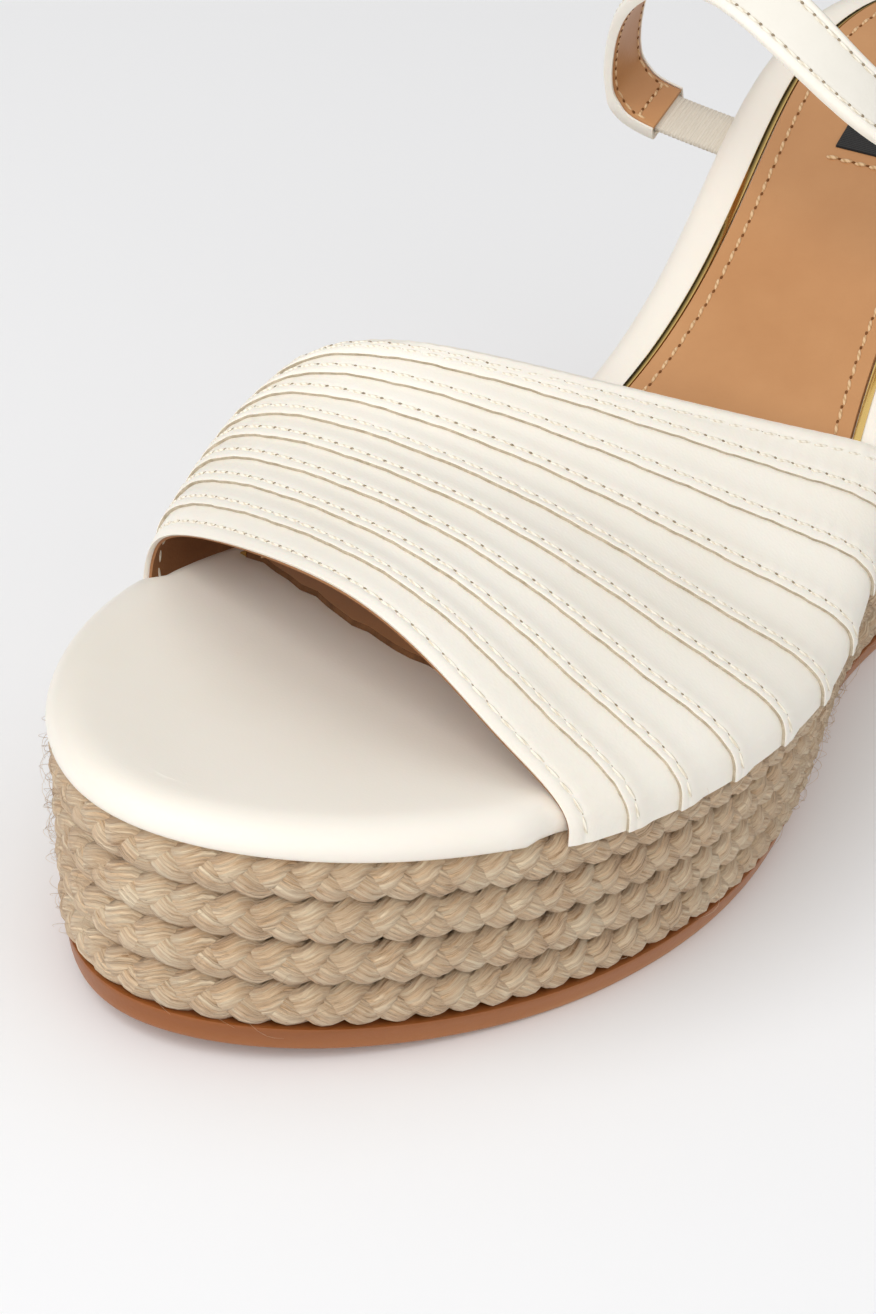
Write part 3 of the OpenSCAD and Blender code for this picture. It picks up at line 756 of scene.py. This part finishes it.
bm = bmesh.new()
gridPatch(bm, 8, 8, lambda u, w: labelSpot((u - 0.5) * sock["labelWide"], (w - 0.5) * sock["labelLong"], 0.38),
          (sock["labelWide"], sock["labelLong"]))
bmesh.ops.solidify(bm, geom=bm.faces[:], thickness=0.3 * mm)
closeMesh(bm, 40)
addPiece(bm, "blankLabel", [blackPatch], "shoe", ["insock_label"])
print("insock made")


# each row's thread: pitch along the row, then a stitch's length, width, height and how deep it is sunk
threads = {
    "insock": {"pitch": 2.9, "length": 2.2, "wide": 0.6, "high": 0.5, "sink": 0.22, "slant": 0.12},
    "label": {"pitch": 2.4, "length": 2.0, "wide": 0.8, "high": 0.6, "sink": 0.2, "slant": 0.12},
    "vampInside": {"pitch": 2.95, "length": 2.3, "wide": 0.5, "high": 0.4, "sink": 0.16, "slant": 0.1},
    "vamp": {"pitch": 2.95, "length": 2.7, "wide": 0.5, "high": 0.5, "sink": 0.16, "slant": 0.1},
    "strap": {"pitch": 2.6, "length": 2.3, "wide": 0.5, "high": 0.45, "sink": 0.12, "slant": 0.08},
    "strapInside": {"pitch": 2.6, "length": 1.9, "wide": 0.5, "high": 0.4, "sink": 0.2, "slant": 0.08},
    "strapRoot": {"pitch": 1.6, "length": 1.3, "wide": 0.5, "high": 0.4, "sink": 0.15, "slant": 0.2},
    "tab": {"pitch": 2.4, "length": 1.9, "wide": 0.5, "high": 0.4, "sink": 0.08, "slant": 0.1},
    "hole": {"length": 0.68, "wide": 0.48, "high": 0.2, "aside": 0.1, "over": 0.06},
}


def addStitch(bm, centre, way, up, length, wide, high, slant=0.0, materialIndex=0):
    # one laid stitch: a small pointed bead, sunk so that its ends dive into the leather
    way = way.normalized()
    side = up.cross(way).normalized()
    up = way.cross(side).normalized()
    turned = (way * math.cos(slant) + side * math.sin(slant)).normalized()
    side = up.cross(turned).normalized()
    basis = Matrix((
        (side.x * wide / 2, up.x * high / 2, turned.x * length / 2, centre.x),
        (side.y * wide / 2, up.y * high / 2, turned.y * length / 2, centre.y),
        (side.z * wide / 2, up.z * high / 2, turned.z * length / 2, centre.z),
        (0, 0, 0, 1)))
    scaled = Matrix.Scale(mm, 4) @ basis
    made = bmesh.ops.create_uvsphere(bm, u_segments=6, v_segments=6, radius=1.0, matrix=scaled)
    for v in made["verts"]:
        for f in v.link_faces:
            f.material_index = materialIndex
            f.smooth = True


def stitchRow(bm, line, thread, holes=False):
    # line: list of (place, up); stitches are set at an even pitch along it
    path = measure(line, False)
    total = path[1][-1]
    count = max(1, round(total / thread["pitch"]))
    hole = threads["hole"]
    for k in range(count):
        s = total * (k + 0.5) / count
        centre, up = along(path, s)
        ahead = along(path, min(total, s + 0.5))[0]
        behind = along(path, max(0.0, s - 0.5))[0]
        jitter = random.uniform(-0.05, 0.05)
        addStitch(bm, centre + up.normalized() * (thread["high"] / 2 - thread["sink"]), ahead - behind, up,
                  thread["length"] * random.uniform(0.95, 1.03), thread["wide"], thread["high"],
                  thread["slant"] + jitter)
        if holes and k:
            spot, up = along(path, total * k / count)
            way = (ahead - behind).normalized()
            spot += up.cross(way).normalized() * hole["aside"]
            addStitch(bm, spot + up.normalized() * hole["over"], way, up,
                      hole["length"], hole["wide"], hole["high"], 0, 1)


def finishStitches(bm, name, materials, body):
    bmesh.ops.recalc_face_normals(bm, faces=bm.faces)
    return addPiece(bm, name, materials, body)


bm = bmesh.new()
inset = sock["inset"] + sock["stitchIn"]
line = []
for y, outer in backRun(inset, 200)[1:-1]:
    p = insetPoint(y, outer, inset, high)
    slope = (rimHeight(p.y + 1) - rimHeight(p.y - 1)) / 2
    line.append((p, Vector((0, -slope, 1)).normalized()))
stitchRow(bm, line, threads["insock"], holes=True)
finishStitches(bm, "insockStitches", [tanThread, needleHole], "shoe")

bm = bmesh.new()
line = [(labelSpot(u, -sock["labelLong"] / 2 - 1.9, 0), Vector((0, -0.4, 1)).normalized())
        for u in (-9.8, -5, 0, 5, 9.8)]
stitchRow(bm, line, threads["label"], holes=True)
finishStitches(bm, "labelStitches", [tanThread, needleHole], "shoe")


vamp = {
    "strips": 9, "lining": 0.6, "leather": 0.62, "step": 0.62,
    "stitchBehind": 1.75, "frontStitch": 2.1, "columns": 150, "liningColumns": 100, "tail": 6,
}


def clampedWeights(u, n):
    spans = n - 3
    t = min(u, 0.99999) * spans
    knots = [clamp(j - 3, 0, spans) for j in range(n + 4)]
    base = [1.0 if knots[j] <= t < knots[j + 1] else 0.0 for j in range(n + 3)]
    for d in (1, 2, 3):
        nextBase = []
        for j in range(n + 3 - d):
            a, b = knots[j + d] - knots[j], knots[j + d + 1] - knots[j + 1]
            value = (t - knots[j]) / a * base[j] if a > 0 else 0.0
            value += (knots[j + d + 1] - t) / b * base[j + 1] if b > 0 else 0.0
            nextBase.append(value)
        base = nextBase
    return base


weightCache = {}
anchorCache = {}


def vampPoint(k, u):
    # the vamp's underside: k counts the seams from the front edge to the rear edge, u runs inner to outer
    u = clamp(u)
    key = round(u, 5)
    if key not in weightCache:
        weightCache[key] = clampedWeights(key, 7)
    if k not in anchorCache:
        s = k / vamp["strips"]
        ya, yb = -59.9 + 32.5 * s, -79 + 106 * s - 4.2 * math.sin(2 * math.pi * s)
        a, b = rimAt(ya, False)[0], rimAt(yb, True)[0]
        inner, crown, outer = 13 + 25.5 * s, 31.2 - 4 * s, 10.6 - 1.5 * s
        shape = ((0, 0), (-0.01 - 0.12 * s, inner / 2), (0.01 - 0.12 * s, inner), (0.57 - 0.14 * s, crown),
                 (0.87, outer), (1, outer * 0.45), (1, 0))
        anchorCache[k] = (Vector((a.x - 0.4, ya, rimHeight(ya))), Vector((b.x - 0.6, yb, rimHeight(yb))),
                          -10.7 + 3 * s, shape)
    a, b, lean, shape = anchorCache[k]
    x = sum(w * q[0] for w, q in zip(weightCache[key], shape))
    h = sum(w * q[1] for w, q in zip(weightCache[key], shape))
    return a + (b - a) * x + Vector((0, lean * math.sin(math.pi * clamp(x)), h))


normalCache = {}


def vampOut(k, u):
    key = (round(clamp(k, 0, vamp["strips"]), 2), round(clamp(u), 4))
    if key not in normalCache:
        k, u = key
        across = vampPoint(k, u + 0.01) - vampPoint(k, u - 0.01)
        rearward = vampPoint(min(vamp["strips"], k + 0.3), u) - vampPoint(max(0, k - 0.3), u)
        normalCache[key] = across.cross(rearward).normalized()
    return normalCache[key]


def stripTop(k, d, width):
    # height of a strip's face at d millimetres behind its front edge
    if k == 1:
        return vamp["leather"] + 0.1
    return vamp["leather"] + 0.1 + vamp["step"] * (1 - smooth((d - 1.2) / max(1.5, min(5.0, width - 1.2))))


def stripWidth(k, u):
    return (vampPoint(k, u) - vampPoint(k - 1, u)).length


stripLines = {}
bm = bmesh.new()
for lift in (0, -vamp["lining"]):
    gridPatch(bm, vamp["liningColumns"], 4 * vamp["strips"],
              lambda u, w: vampPoint(w * vamp["strips"], u) + vampOut(w * vamp["strips"], u) * lift, (150, 70))
bmesh.ops.remove_doubles(bm, verts=bm.verts, dist=0.002 * mm)
bmesh.ops.bridge_loops(bm, edges=[e for e in bm.edges if e.is_boundary])
closeMesh(bm)
# the lining's dark colour is partly the microfibre's own and partly painted shade under the vamp
addPiece(bm, "vampLining", [tanLiningShaded], "shoe", ["vamp_lining"])

for strip in range(1, vamp["strips"] + 1):
    columns = vamp["columns"]
    lengths = [0.0]
    for c in range(columns):
        a, b = vampPoint(strip - 0.7, c / columns), vampPoint(strip - 0.7, (c + 1) / columns)
        lengths.append(lengths[-1] + (b - a).length)
    total = lengths[-1]
    count = round(total / threads["vamp"]["pitch"])
    widths = [max(2.5, stripWidth(strip, c / columns)) for c in range(columns + 1)]
    last = strip == vamp["strips"]
    reaches = [0.0, 0.12, 0.45, 0.9, 1.3, 1.55, 1.75, 1.95, 2.3, 2.9, 4.0]    # closest together at the stitches
    tail, thick = vamp["tail"], vamp["leather"]

    def rowBehind(c):
        return min(vamp["stitchBehind"] if strip > 1 else vamp["frontStitch"], widths[c] * 0.6)

    def section(c):
        # closed outline of the strip at column c: (mm behind the front edge, height, kind)
        width = widths[c]
        stitch = rowBehind(c)
        scale = stitch / reaches[6]
        rearEnd = width if last else width * 1.2
        places = [d * scale for d in reaches]
        gap = (rearEnd - places[-1]) / tail if rearEnd > places[-1] else 0.05
        places += [places[-1] + gap * (i + 1) for i in range(tail)]
        places = [min(d, rearEnd + 0.001 * i) for i, d in enumerate(places)]
        phase = math.cos(2 * math.pi * count * lengths[c] / total)
        # the knife strays a little along the front edge
        stray = 0.08 * math.sin(lengths[c] * 0.47 + strip * 1.7) \
            + 0.05 * math.sin(lengths[c] * 1.3 + strip * 3) + 0.03 * phase
        rows = [stitch]
        if last:
            rows.append(max(stitch + 1.2, width - 2.6))
        outline = []
        front = stripTop(strip, 0, width)
        if strip == 1:
            # the front strip is folded round the lining
            outline += [(0.5, 0.1 - vamp["lining"] * 0.9), (-0.35, 0.0), (-0.62, 0.45), (-0.35, front - 0.15)]
        else:
            outline += [(stray + 0.05, front - thick), (stray - 0.02, front - thick * 0.6),
                        (stray, front - thick * 0.3), (stray + 0.01, front - 0.1)]
        for d in places:
            h = stripTop(strip, d, width)
            if strip == 1 and d < 1.0 * scale:
                h -= 0.12 * (1 - d / (1.0 * scale)) ** 2
            elif d < 0.1:
                h -= 0.04
            for r in rows:
                # each thread pulls a dip, and the leather swells before and behind it
                h -= 0.2 * bump(d - r, 0.5) * (0.7 - 0.4 * phase)
                h += 0.05 * bump(d - r + 1.1, 0.7) + 0.06 * bump(d - r - 1.6, 1.2) * (1 + phase)
            if last:
                h -= 0.5 * smooth((d - rearEnd + 0.9) / 0.9) ** 2
            outline.append((d + (stray * (1 - d / 1.2) if strip > 1 and d < 1.2 else 0), h))
        rearTop = outline[-1][1]
        if last:
            outline += [(rearEnd + 0.45, rearTop - 0.3), (rearEnd + 0.35, -0.25),
                        (rearEnd - 0.4, -vamp["lining"] - 0.1)]
        else:
            outline += [(rearEnd, rearTop - thick * 0.5), (rearEnd, rearTop - thick), (rearEnd * 0.9, rearTop - thick)]
        for d in (0.7, 0.35):
            place = rearEnd * d
            h = stripTop(strip, place, width) - thick if not last else 0.05
            outline.append((place, max(h, 0.05)))
        return outline

    sections = [section(c) for c in range(columns + 1)]
    corners = len(sections[0])

    def stripPoint(u, w):
        c = round(w * columns)
        d, h = sections[c][round(u * corners) % corners]
        at = c / columns
        k = strip - 1 + d / widths[c]
        here = clamp(k, 0, vamp["strips"])
        p = vampPoint(here, at)
        if k < 0 or k > vamp["strips"]:
            way = (vampPoint(min(vamp["strips"], here + 0.1), at) - vampPoint(max(0, here - 0.1), at)).normalized()
            p += way * (k - here) * widths[c]
        p += vampOut(here, at) * h
        tuck = max(smooth((0.025 - at) / 0.025), smooth((at - 0.975) / 0.025))
        p.z -= 0.9 * tuck    # both ends pass down behind the rim
        return p

    def stripMaterial(u, w):
        return 1 if strip > 1 and int(u * corners) < 3 else 0

    bm = bmesh.new()
    gridPatch(bm, corners, columns, stripPoint, (2 * max(widths), total), stripMaterial)
    closeMesh(bm, 55)
    addPiece(bm, "vampStrip" + str(strip), [creamLeather, cutEdge], "shoe",
             ["vamp_strip_" + str(strip)])

    def stitchLine(distance):
        line = []
        for c in range(1, columns):
            d = distance(c)
            at = c / columns
            k = clamp(strip - 1 + d / widths[c], 0, vamp["strips"])
            up = vampOut(k, at)
            line.append((vampPoint(k, at) + up * (stripTop(strip, d, widths[c]) - 0.2), up))
        return line
    stripLines[strip] = [stitchLine(rowBehind)]
    if last:
        stripLines[strip].append(stitchLine(lambda c: max(rowBehind(c) + 1.2, widths[c] - 2.6)))

bm = bmesh.new()
inside = [(place - up * (vamp["leather"] + vamp["lining"] - 0.1), -up) for place, up in stripLines[1][0]]
stitchRow(bm, inside, threads["vampInside"])
finishStitches(bm, "vampInnerStitches", [creamThread], "shoe")

bm = bmesh.new()
for lines in stripLines.values():
    for line in lines:
        stitchRow(bm, line, threads["vamp"], holes=True)
finishStitches(bm, "vampStitches", [creamThread, creamHole], "shoe")
print("vamp made")


strap = {
    "wide": 10.0, "thick": 1.0, "lining": 0.7, "elasticWide": 8.0, "elasticThick": 1.2,
    "wireR": 1.0, "barR": 0.8, "prongR": 0.7, "frameClear": 11.0,
    "elasticEnd": 5, "leatherFrom": 2, "freeSteps": 30,
    "barAt": Vector((30, 46.5, 77)), "tabWay": Vector((1, 3.5, -10)).normalized(), "tabLong": 11,
    "stitchIn": 1.6, "liningStitchIn": 1.3, "rootY": 68, "tucked": 2.6,
}
strapRoot = Vector((rimAt(strap["rootY"], False)[0].x - 1.3, strap["rootY"], rimHeight(strap["rootY"]) + 1))
buckleUp = -strap["tabWay"]
barWay = (Vector((0, 1, 0)) - buckleUp * buckleUp.y).normalized()
buckleOut = barWay.cross(buckleUp)


def atBuckle(x, y, z):
    return strap["barAt"] + barWay * x + buckleUp * y + buckleOut * z


tabR = strap["barR"] + 1.2
strapLow = -strap["wireR"] - strap["thick"] - 0.35
strapHigh = tabR + strap["lining"] + 0.25
farSide = strap["frameClear"] + strap["wireR"] + 1
buckled = [(farSide + 7, strapLow - 0.3), (farSide + 2, strapLow), (farSide - 2.4, strapLow + 0.1),
           (farSide - 4.6, strapLow + 0.8), (farSide * 0.42, (strapLow + strapHigh) / 2), (3.4, strapHigh - 0.7),
           (1.2, strapHigh), (-3, strapHigh), (-8, strapHigh - 0.3), (-15, strapHigh - 0.3)]
route = [strapRoot, strapRoot + Vector((-11, 0, 0.5)), strapRoot + Vector((-19, 0, 1)), Vector((-42.5, 61, 90)),
         Vector((-32.5, 45, 107)), Vector((-8, 24, 123)), Vector((20, 25.5, 102)),
         atBuckle(0, farSide + 9.5, strapLow - 1), atBuckle(0, farSide + 7, strapLow - 0.3)]
leans = [(0, 0.85, 0.53)] * 3 + [(0, 0.87, 0.5), (0, 0.88, 0.45), (0, 0.6, 0.8), (0, 0.8, 0.5)]
sideways = [Vector(lean) for lean in leans] + [barWay, barWay]


def clampedCurve(points, u):
    return sum((p * w for p, w in zip(points, clampedWeights(u, len(points)))), Vector((0, 0, 0)))


free = strap["freeSteps"]
mids = [clampedCurve(route, s / free) for s in range(free + 1)] + [atBuckle(0, y, z) for y, z in buckled[1:]]
acrosses = [clampedCurve(sideways, s / free) for s in range(free + 1)] + [barWay] * (len(buckled) - 1)
strapEnd = len(mids) - 1


def strapAt(t):
    # the strap's middle line: place, direction across, direction outward, gap between its two leathers
    def pick(values, t):
        i = int(clamp(math.floor(t), 0, strapEnd - 1))
        u = t - i
        a, b, c, d = [values[int(clamp(i + j, 0, strapEnd))] for j in (-1, 0, 1, 2)]
        return 0.5 * (2 * b + (c - a) * u + (2 * a - 5 * b + 4 * c - d) * u * u + (3 * b - a - 3 * c + d) * u ** 3)
    ahead = (mids[1] - mids[0]) * min(0.0, t)
    t = clamp(t, 0, strapEnd)
    way = (pick(mids, min(strapEnd, t + 0.2)) - pick(mids, max(0, t - 0.2))).normalized()
    across = pick(acrosses, t)
    across = (across - way * across.dot(way)).normalized()
    gap = (strap["elasticThick"] / 2 + 0.05) * (1 - smooth((t - strap["elasticEnd"]) / 2)) + 0.08
    return pick(mids, t) + ahead, across, way.cross(across), gap


def strapTable(start, end, step):
    # even steps along the strap
    fine = [start + (end - start) * i / 800 for i in range(801)]
    lengths = [0.0]
    for a, b in zip(fine, fine[1:]):
        lengths.append(lengths[-1] + (strapAt(b)[0] - strapAt(a)[0]).length)
    count = round(lengths[-1] / step)
    table = []
    for i in range(count + 1):
        s = lengths[-1] * i / count
        j = int(clamp(bisect.bisect_right(lengths, s) - 1, 0, 799))
        f = (s - lengths[j]) / max(1e-9, lengths[j + 1] - lengths[j])
        table.append((s, fine[j] + (fine[j + 1] - fine[j]) * clamp(f)))
    return table, lengths[-1]


def strapBand(name, materials, node, outline, table, total, taper, middle=None):
    # outline(s, halfWidth) gives the closed section: (across, outward) pairs
    spots = [strapAt(t) for s, t in table]
    rows = [outline(s, taper(s), spot[3]) for (s, t), spot in zip(table, spots)]
    corners = len(rows[0])
    steps = len(table) - 1

    def bandPoint(u, w):
        r = round(w * steps)
        place, across, out, gap = spots[r]
        x, h = rows[r][round(u * corners) % corners]
        return place + across * x + out * h
    bm = bmesh.new()
    gridPatch(bm, corners, steps, bandPoint, (22, total),
              (lambda u, w: 1 if middle[0] <= u * corners < middle[1] else 0) if middle else None)
    closeMesh(bm, 60)
    return addPiece(bm, name, materials, "strap", [node])


def bandOutline(halfWide, low, high, dips, dipDepth, roll, wrapped=0.0):
    # a flat strap with rolled edges and a shallow channel along each stitch row
    outline = [(-halfWide, (low + high) / 2)]
    for x in (-0.93, -0.82, -0.76, -0.68, -0.6, -0.5, -0.25, 0, 0.25, 0.5, 0.6, 0.68, 0.76, 0.82, 0.93):
        d = min(abs(x * halfWide - dip) for dip in dips) if dips else 9
        edgeFall = roll * clamp((abs(x) - 0.8) / 0.2) ** 2
        outline.append((x * halfWide, high - dipDepth * bump(d, 0.45) - edgeFall))
    outline.append((halfWide, (low + high) / 2))
    for x in (0.985, 0.92, 0.9, 0, -0.9, -0.92, -0.985):
        outline.append((x * halfWide, low - (wrapped if abs(x) > 0.91 else 0)))
    return outline


leatherTable, leatherLong = strapTable(strap["leatherFrom"], strapEnd, 0.85)


def pointedEnd(total):
    def halfWidth(s):
        left = total - s
        narrow = 1 if left > 7 else math.sqrt(clamp(1 - ((7 - left) / 7.2) ** 2.4)) + 0.02
        return strap["wide"] / 2 * narrow
    return halfWidth


def outerSection(s, halfWide, gap):
    phase = math.cos(2 * math.pi * s / threads["strap"]["pitch"])
    dips = [-(halfWide - strap["stitchIn"]), halfWide - strap["stitchIn"]]
    return bandOutline(halfWide, gap, gap + strap["thick"] + 0.1, dips, 0.16 * (1 + 0.3 * phase), 0.5,
                       2 * gap + strap["lining"] - 0.1)


def liningSection(s, halfWide, gap):
    flipped = bandOutline(max(0.05, halfWide - 0.48), gap, gap + strap["lining"], [], 0.0, 0.15)
    return [(x, -h) for x, h in flipped]


# the middle faces between the stitch rows take the greyer calf: painted shade
strapBand("strapLeather", [creamLeather, strapShadedFace], "ankle_strap", outerSection, leatherTable,
          leatherLong, pointedEnd(leatherLong), (3, 13))
strapBand("strapLining", [tanLeather], "ankle_strap_lining", liningSection, leatherTable,
          leatherLong, pointedEnd(leatherLong))

# the elastic runs on a little way under the cover
elasticTable, elasticLong = strapTable(-strap["tucked"] / (mids[1] - mids[0]).length, strap["elasticEnd"], 0.16)


def elasticSection(s, halfWide, gap):
    rib = 0.07 * math.cos(2 * math.pi * s / 0.8)
    tall = strap["elasticThick"] / 2 - 0.05 + rib
    face = [(-0.94, 0.9), (-0.5, 1), (0, 1), (0.5, 1), (0.94, 0.9)]
    return [(-halfWide - rib, 0)] + [(halfWide * x, tall * h) for x, h in face] \
        + [(halfWide + rib, 0)] + [(-halfWide * x, -tall * h) for x, h in face]


strapBand("elasticGusset", [creamElastic], "elastic_gusset", elasticSection, elasticTable, elasticLong,
          lambda s: strap["elasticWide"] / 2 - 0.1)

bm = bmesh.new()
for side in (-1, 1):
    line = []
    for s, t in leatherTable:
        if 2.0 < s < leatherLong - 7:
            place, across, out, gap = strapAt(t)
            x = side * (strap["wide"] / 2 - strap["stitchIn"])
            line.append((place + across * x + out * (gap + strap["thick"] + 0.1 - 0.14), out))
    stitchRow(bm, line, threads["strap"], holes=True)
finishStitches(bm, "strapStitches", [creamThread, creamHole], "strap")

bm = bmesh.new()
for side in (-1, 1):
    line = []
    for s, t in leatherTable:
        if 1.5 < s < leatherLong - 7:
            place, across, out, gap = strapAt(t)
            x = side * (strap["wide"] / 2 - strap["liningStitchIn"])
            line.append((place + across * x - out * (gap + strap["lining"] - 0.02), -out))
    stitchRow(bm, line, threads["strapInside"], holes=True)
place, across, out, gap = strapAt(leatherTable[4][1])
line = [(place + across * x - out * (gap + strap["lining"]), -out) for x in (-4, -2, 0, 2, 4)]
stitchRow(bm, line, threads["strapRoot"], holes=True)
finishStitches(bm, "strapLiningStitches", [tanThread, needleHole], "strap")
print("strap made")


tab = {"half": 5.0, "r": tabR, "long": strap["tabLong"], "slot": (2 * strap["prongR"] + 1.3) / 2}
bm = bmesh.new()
for lowX, highX in ((-tab["half"], -tab["slot"] - 0.05), (tab["slot"] + 0.05, tab["half"])):
    # two leather knuckles fold round the bar, either side of the prong
    def knuckle(u, w):
        r = tab["r"] - (0.18 if w in (0.0, 1.0) else 0.0)
        angle = math.radians(360 * (round(u * 24) % 24) / 24)
        return atBuckle(mix(lowX, highX, w), r * math.cos(angle), r * math.sin(angle))
    gridPatch(bm, 24, 6, knuckle, (12, 5))
bmesh.ops.remove_doubles(bm, verts=bm.verts, dist=0.002 * mm)
closeMesh(bm)


def tabFlap(u, w):
    section = [(-1, -0.5), (-0.95, -1), (-0.5, -1), (0, -1), (0.5, -1), (0.95, -1), (1, -0.5), (1, 0.5),
               (0.95, 1), (0.68, 0.86), (0.5, 1), (0, 1), (-0.5, 1), (-0.68, 0.86), (-0.95, 1), (-1, 0.5)]
    x, z = section[round(u * 16) % 16]
    y = mix(-1.2, -tab["long"], w)
    return atBuckle(x * tab["half"], y, z * (tab["r"] - 0.6))


gridPatch(bm, 16, 16, tabFlap, (24, tab["long"]))
closeMesh(bm, 60)
addPiece(bm, "buckleTab", [creamLeather], "strap", ["buckle_tab"])

bm = bmesh.new()
for side in (-1, 1):
    line = [(atBuckle(side * 3.4, y, tab["r"] - 0.68), buckleOut) for y in (-3.5, -5, -7, -9, -10.4)]
    stitchRow(bm, line, threads["tab"])
finishStitches(bm, "tabStitches", [creamThread], "strap")

# a leather loop: its opening, its wall and where it sits behind the bar
keeper = {
    "low": -tabR + 0.45, "high": strapHigh + strap["thick"] + 0.3, "wide": (strap["wide"] + 0.6) / 2,
    "wall": 1.0, "long": 5.0, "at": -7.0, "corner": 0.9,
}


def keeperPoint(u, w):
    # round the loop by w, round its own section by u
    corner, wall = keeper["corner"], keeper["wall"]
    wide, low, high = keeper["wide"] + wall / 2, keeper["low"] - wall / 2, keeper["high"] + wall / 2
    path = []
    for cx, cz, start in ((wide, high, 0), (-wide, high, 90), (-wide, low, 180), (wide, low, 270)):
        for i in range(5):
            angle = math.radians(start + 22.5 * i)
            ox, oz = cx - math.copysign(corner, cx), cz - (corner if cz == high else -corner)
            path.append((ox + corner * math.cos(angle), oz + corner * math.sin(angle), angle))
    x, z, angle = path[round(w * 20) % 20]
    section = [(-0.5, -0.3), (-0.46, 0.42), (-0.3, 0.5), (0, 0.54), (0.3, 0.5), (0.46, 0.42), (0.5, -0.3),
               (0.45, -0.5), (-0.45, -0.5)]
    down, out = section[round(u * 9) % 9]
    return atBuckle(x + math.cos(angle) * out * wall, keeper["at"] + down * keeper["long"],
                    z + math.sin(angle) * out * wall)


bm = bmesh.new()
gridPatch(bm, 9, 20, keeperPoint, (12, 40))
closeMesh(bm, 45)
addPiece(bm, "keeperLoop", [creamLeather], "strap", ["keeper_loop"])
print("buckle pieces made")


for nodeName, material in (("wedge_core", corkWedge), ("steel_shank", springSteel), ("shank_rivets", springSteel),
                           ("insole_board", texonBoard), ("footbed_foam", latexFoam), ("buckle_frame", buckleMetal),
                           ("buckle_prong", buckleMetal)):
    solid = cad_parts[nodeName]
    solid.data.materials.clear()
    solid.data.materials.append(material)


studio = {
    "skyStrength": 0.44, "floorHalf": 6.0,
    "camera": (265.29, -548.52, 336.8), "azimuth": 28.163, "elevation": 28.121, "roll": 7.437, "lens": 121.68,
    # softboxes in metres and watts, all turned to the shoe
    "lights": [
        ("overheadSoftbox", (0.1, 0.1, 1.5), (1.6, 1.6), 3.5),
        ("frontSoftbox", (-0.15, -1.25, 1.05), (1.7, 1.4), 20),
        ("rightFill", (1.3, -0.7, 0.7), (1.2, 1.2), 3),
    ],
}
bm = bmesh.new()
bmesh.ops.create_grid(bm, x_segments=2, y_segments=2, size=studio["floorHalf"])
mesh = bpy.data.meshes.new("backdropFloor")
bm.to_mesh(mesh)
bm.free()
floor = bpy.data.objects.new("backdropFloor", mesh)
bpy.context.scene.collection.objects.link(floor)
mesh.materials.append(backdropPaper)

for name, place, size, power in studio["lights"]:
    light = bpy.data.lights.new(name, "AREA")
    light.shape = "RECTANGLE"
    light.size, light.size_y = size
    light.energy = power
    lamp = bpy.data.objects.new(name, light)
    lamp.location = place
    lamp.visible_glossy = False
    lamp.rotation_euler = (Vector((0, 0, 0.03)) - Vector(place)).to_track_quat("-Z", "Y").to_euler()
    bpy.context.scene.collection.objects.link(lamp)

sky = bpy.data.worlds.new("studioSky")
sky.use_nodes = True
# the room is white to light by; in mirrors it is bright to the right and front, dark behind and to the left
room = addNode(sky.node_tree, "ShaderNodeTexCoord")
slope = addNode(sky.node_tree, "ShaderNodeVectorMath", {"operation": "DOT_PRODUCT"}, {
    0: room.outputs["Generated"], 1: (0.8, -0.3, 0.5)})
mirrored = addNode(sky.node_tree, "ShaderNodeMapRange", {}, {
    "Value": slope.outputs["Value"], "From Min": -0.45, "From Max": 0.1, "To Min": 0.03, "To Max": 1.0})
ray = addNode(sky.node_tree, "ShaderNodeLightPath")
strength = addNode(sky.node_tree, "ShaderNodeMix", {}, {
    "Factor": ray.outputs["Is Glossy Ray"], "A": studio["skyStrength"], "B": mirrored.outputs["Result"]})
shade = sky.node_tree.nodes["Background"]
shade.inputs["Color"].default_value = (1, 1, 1, 1)
sky.node_tree.links.new(strength.outputs["Result"], shade.inputs["Strength"])
bpy.context.scene.world = sky
bpy.context.scene.view_settings.view_transform = "Standard"

lens = bpy.data.cameras.new("studioCamera")
lens.lens = studio["lens"]
lens.sensor_width = 36
lens.clip_start = 0.05
camera = bpy.data.objects.new("studioCamera", lens)
a, e, r = [math.radians(studio[name]) for name in ("azimuth", "elevation", "roll")]
back = Vector((math.sin(a) * math.cos(e), -math.cos(a) * math.cos(e), math.sin(e)))
right = Vector((math.cos(a), math.sin(a), 0))
up = back.cross(right)
right, up = right * math.cos(r) + up * math.sin(r), up * math.cos(r) - right * math.sin(r)
turned = Matrix((right, up, back)).transposed().to_4x4()
camera.matrix_world = Matrix.Translation(Vector(studio["camera"]) * mm) @ turned
bpy.context.scene.collection.objects.link(camera)
bpy.context.scene.camera = camera
print("studio made")
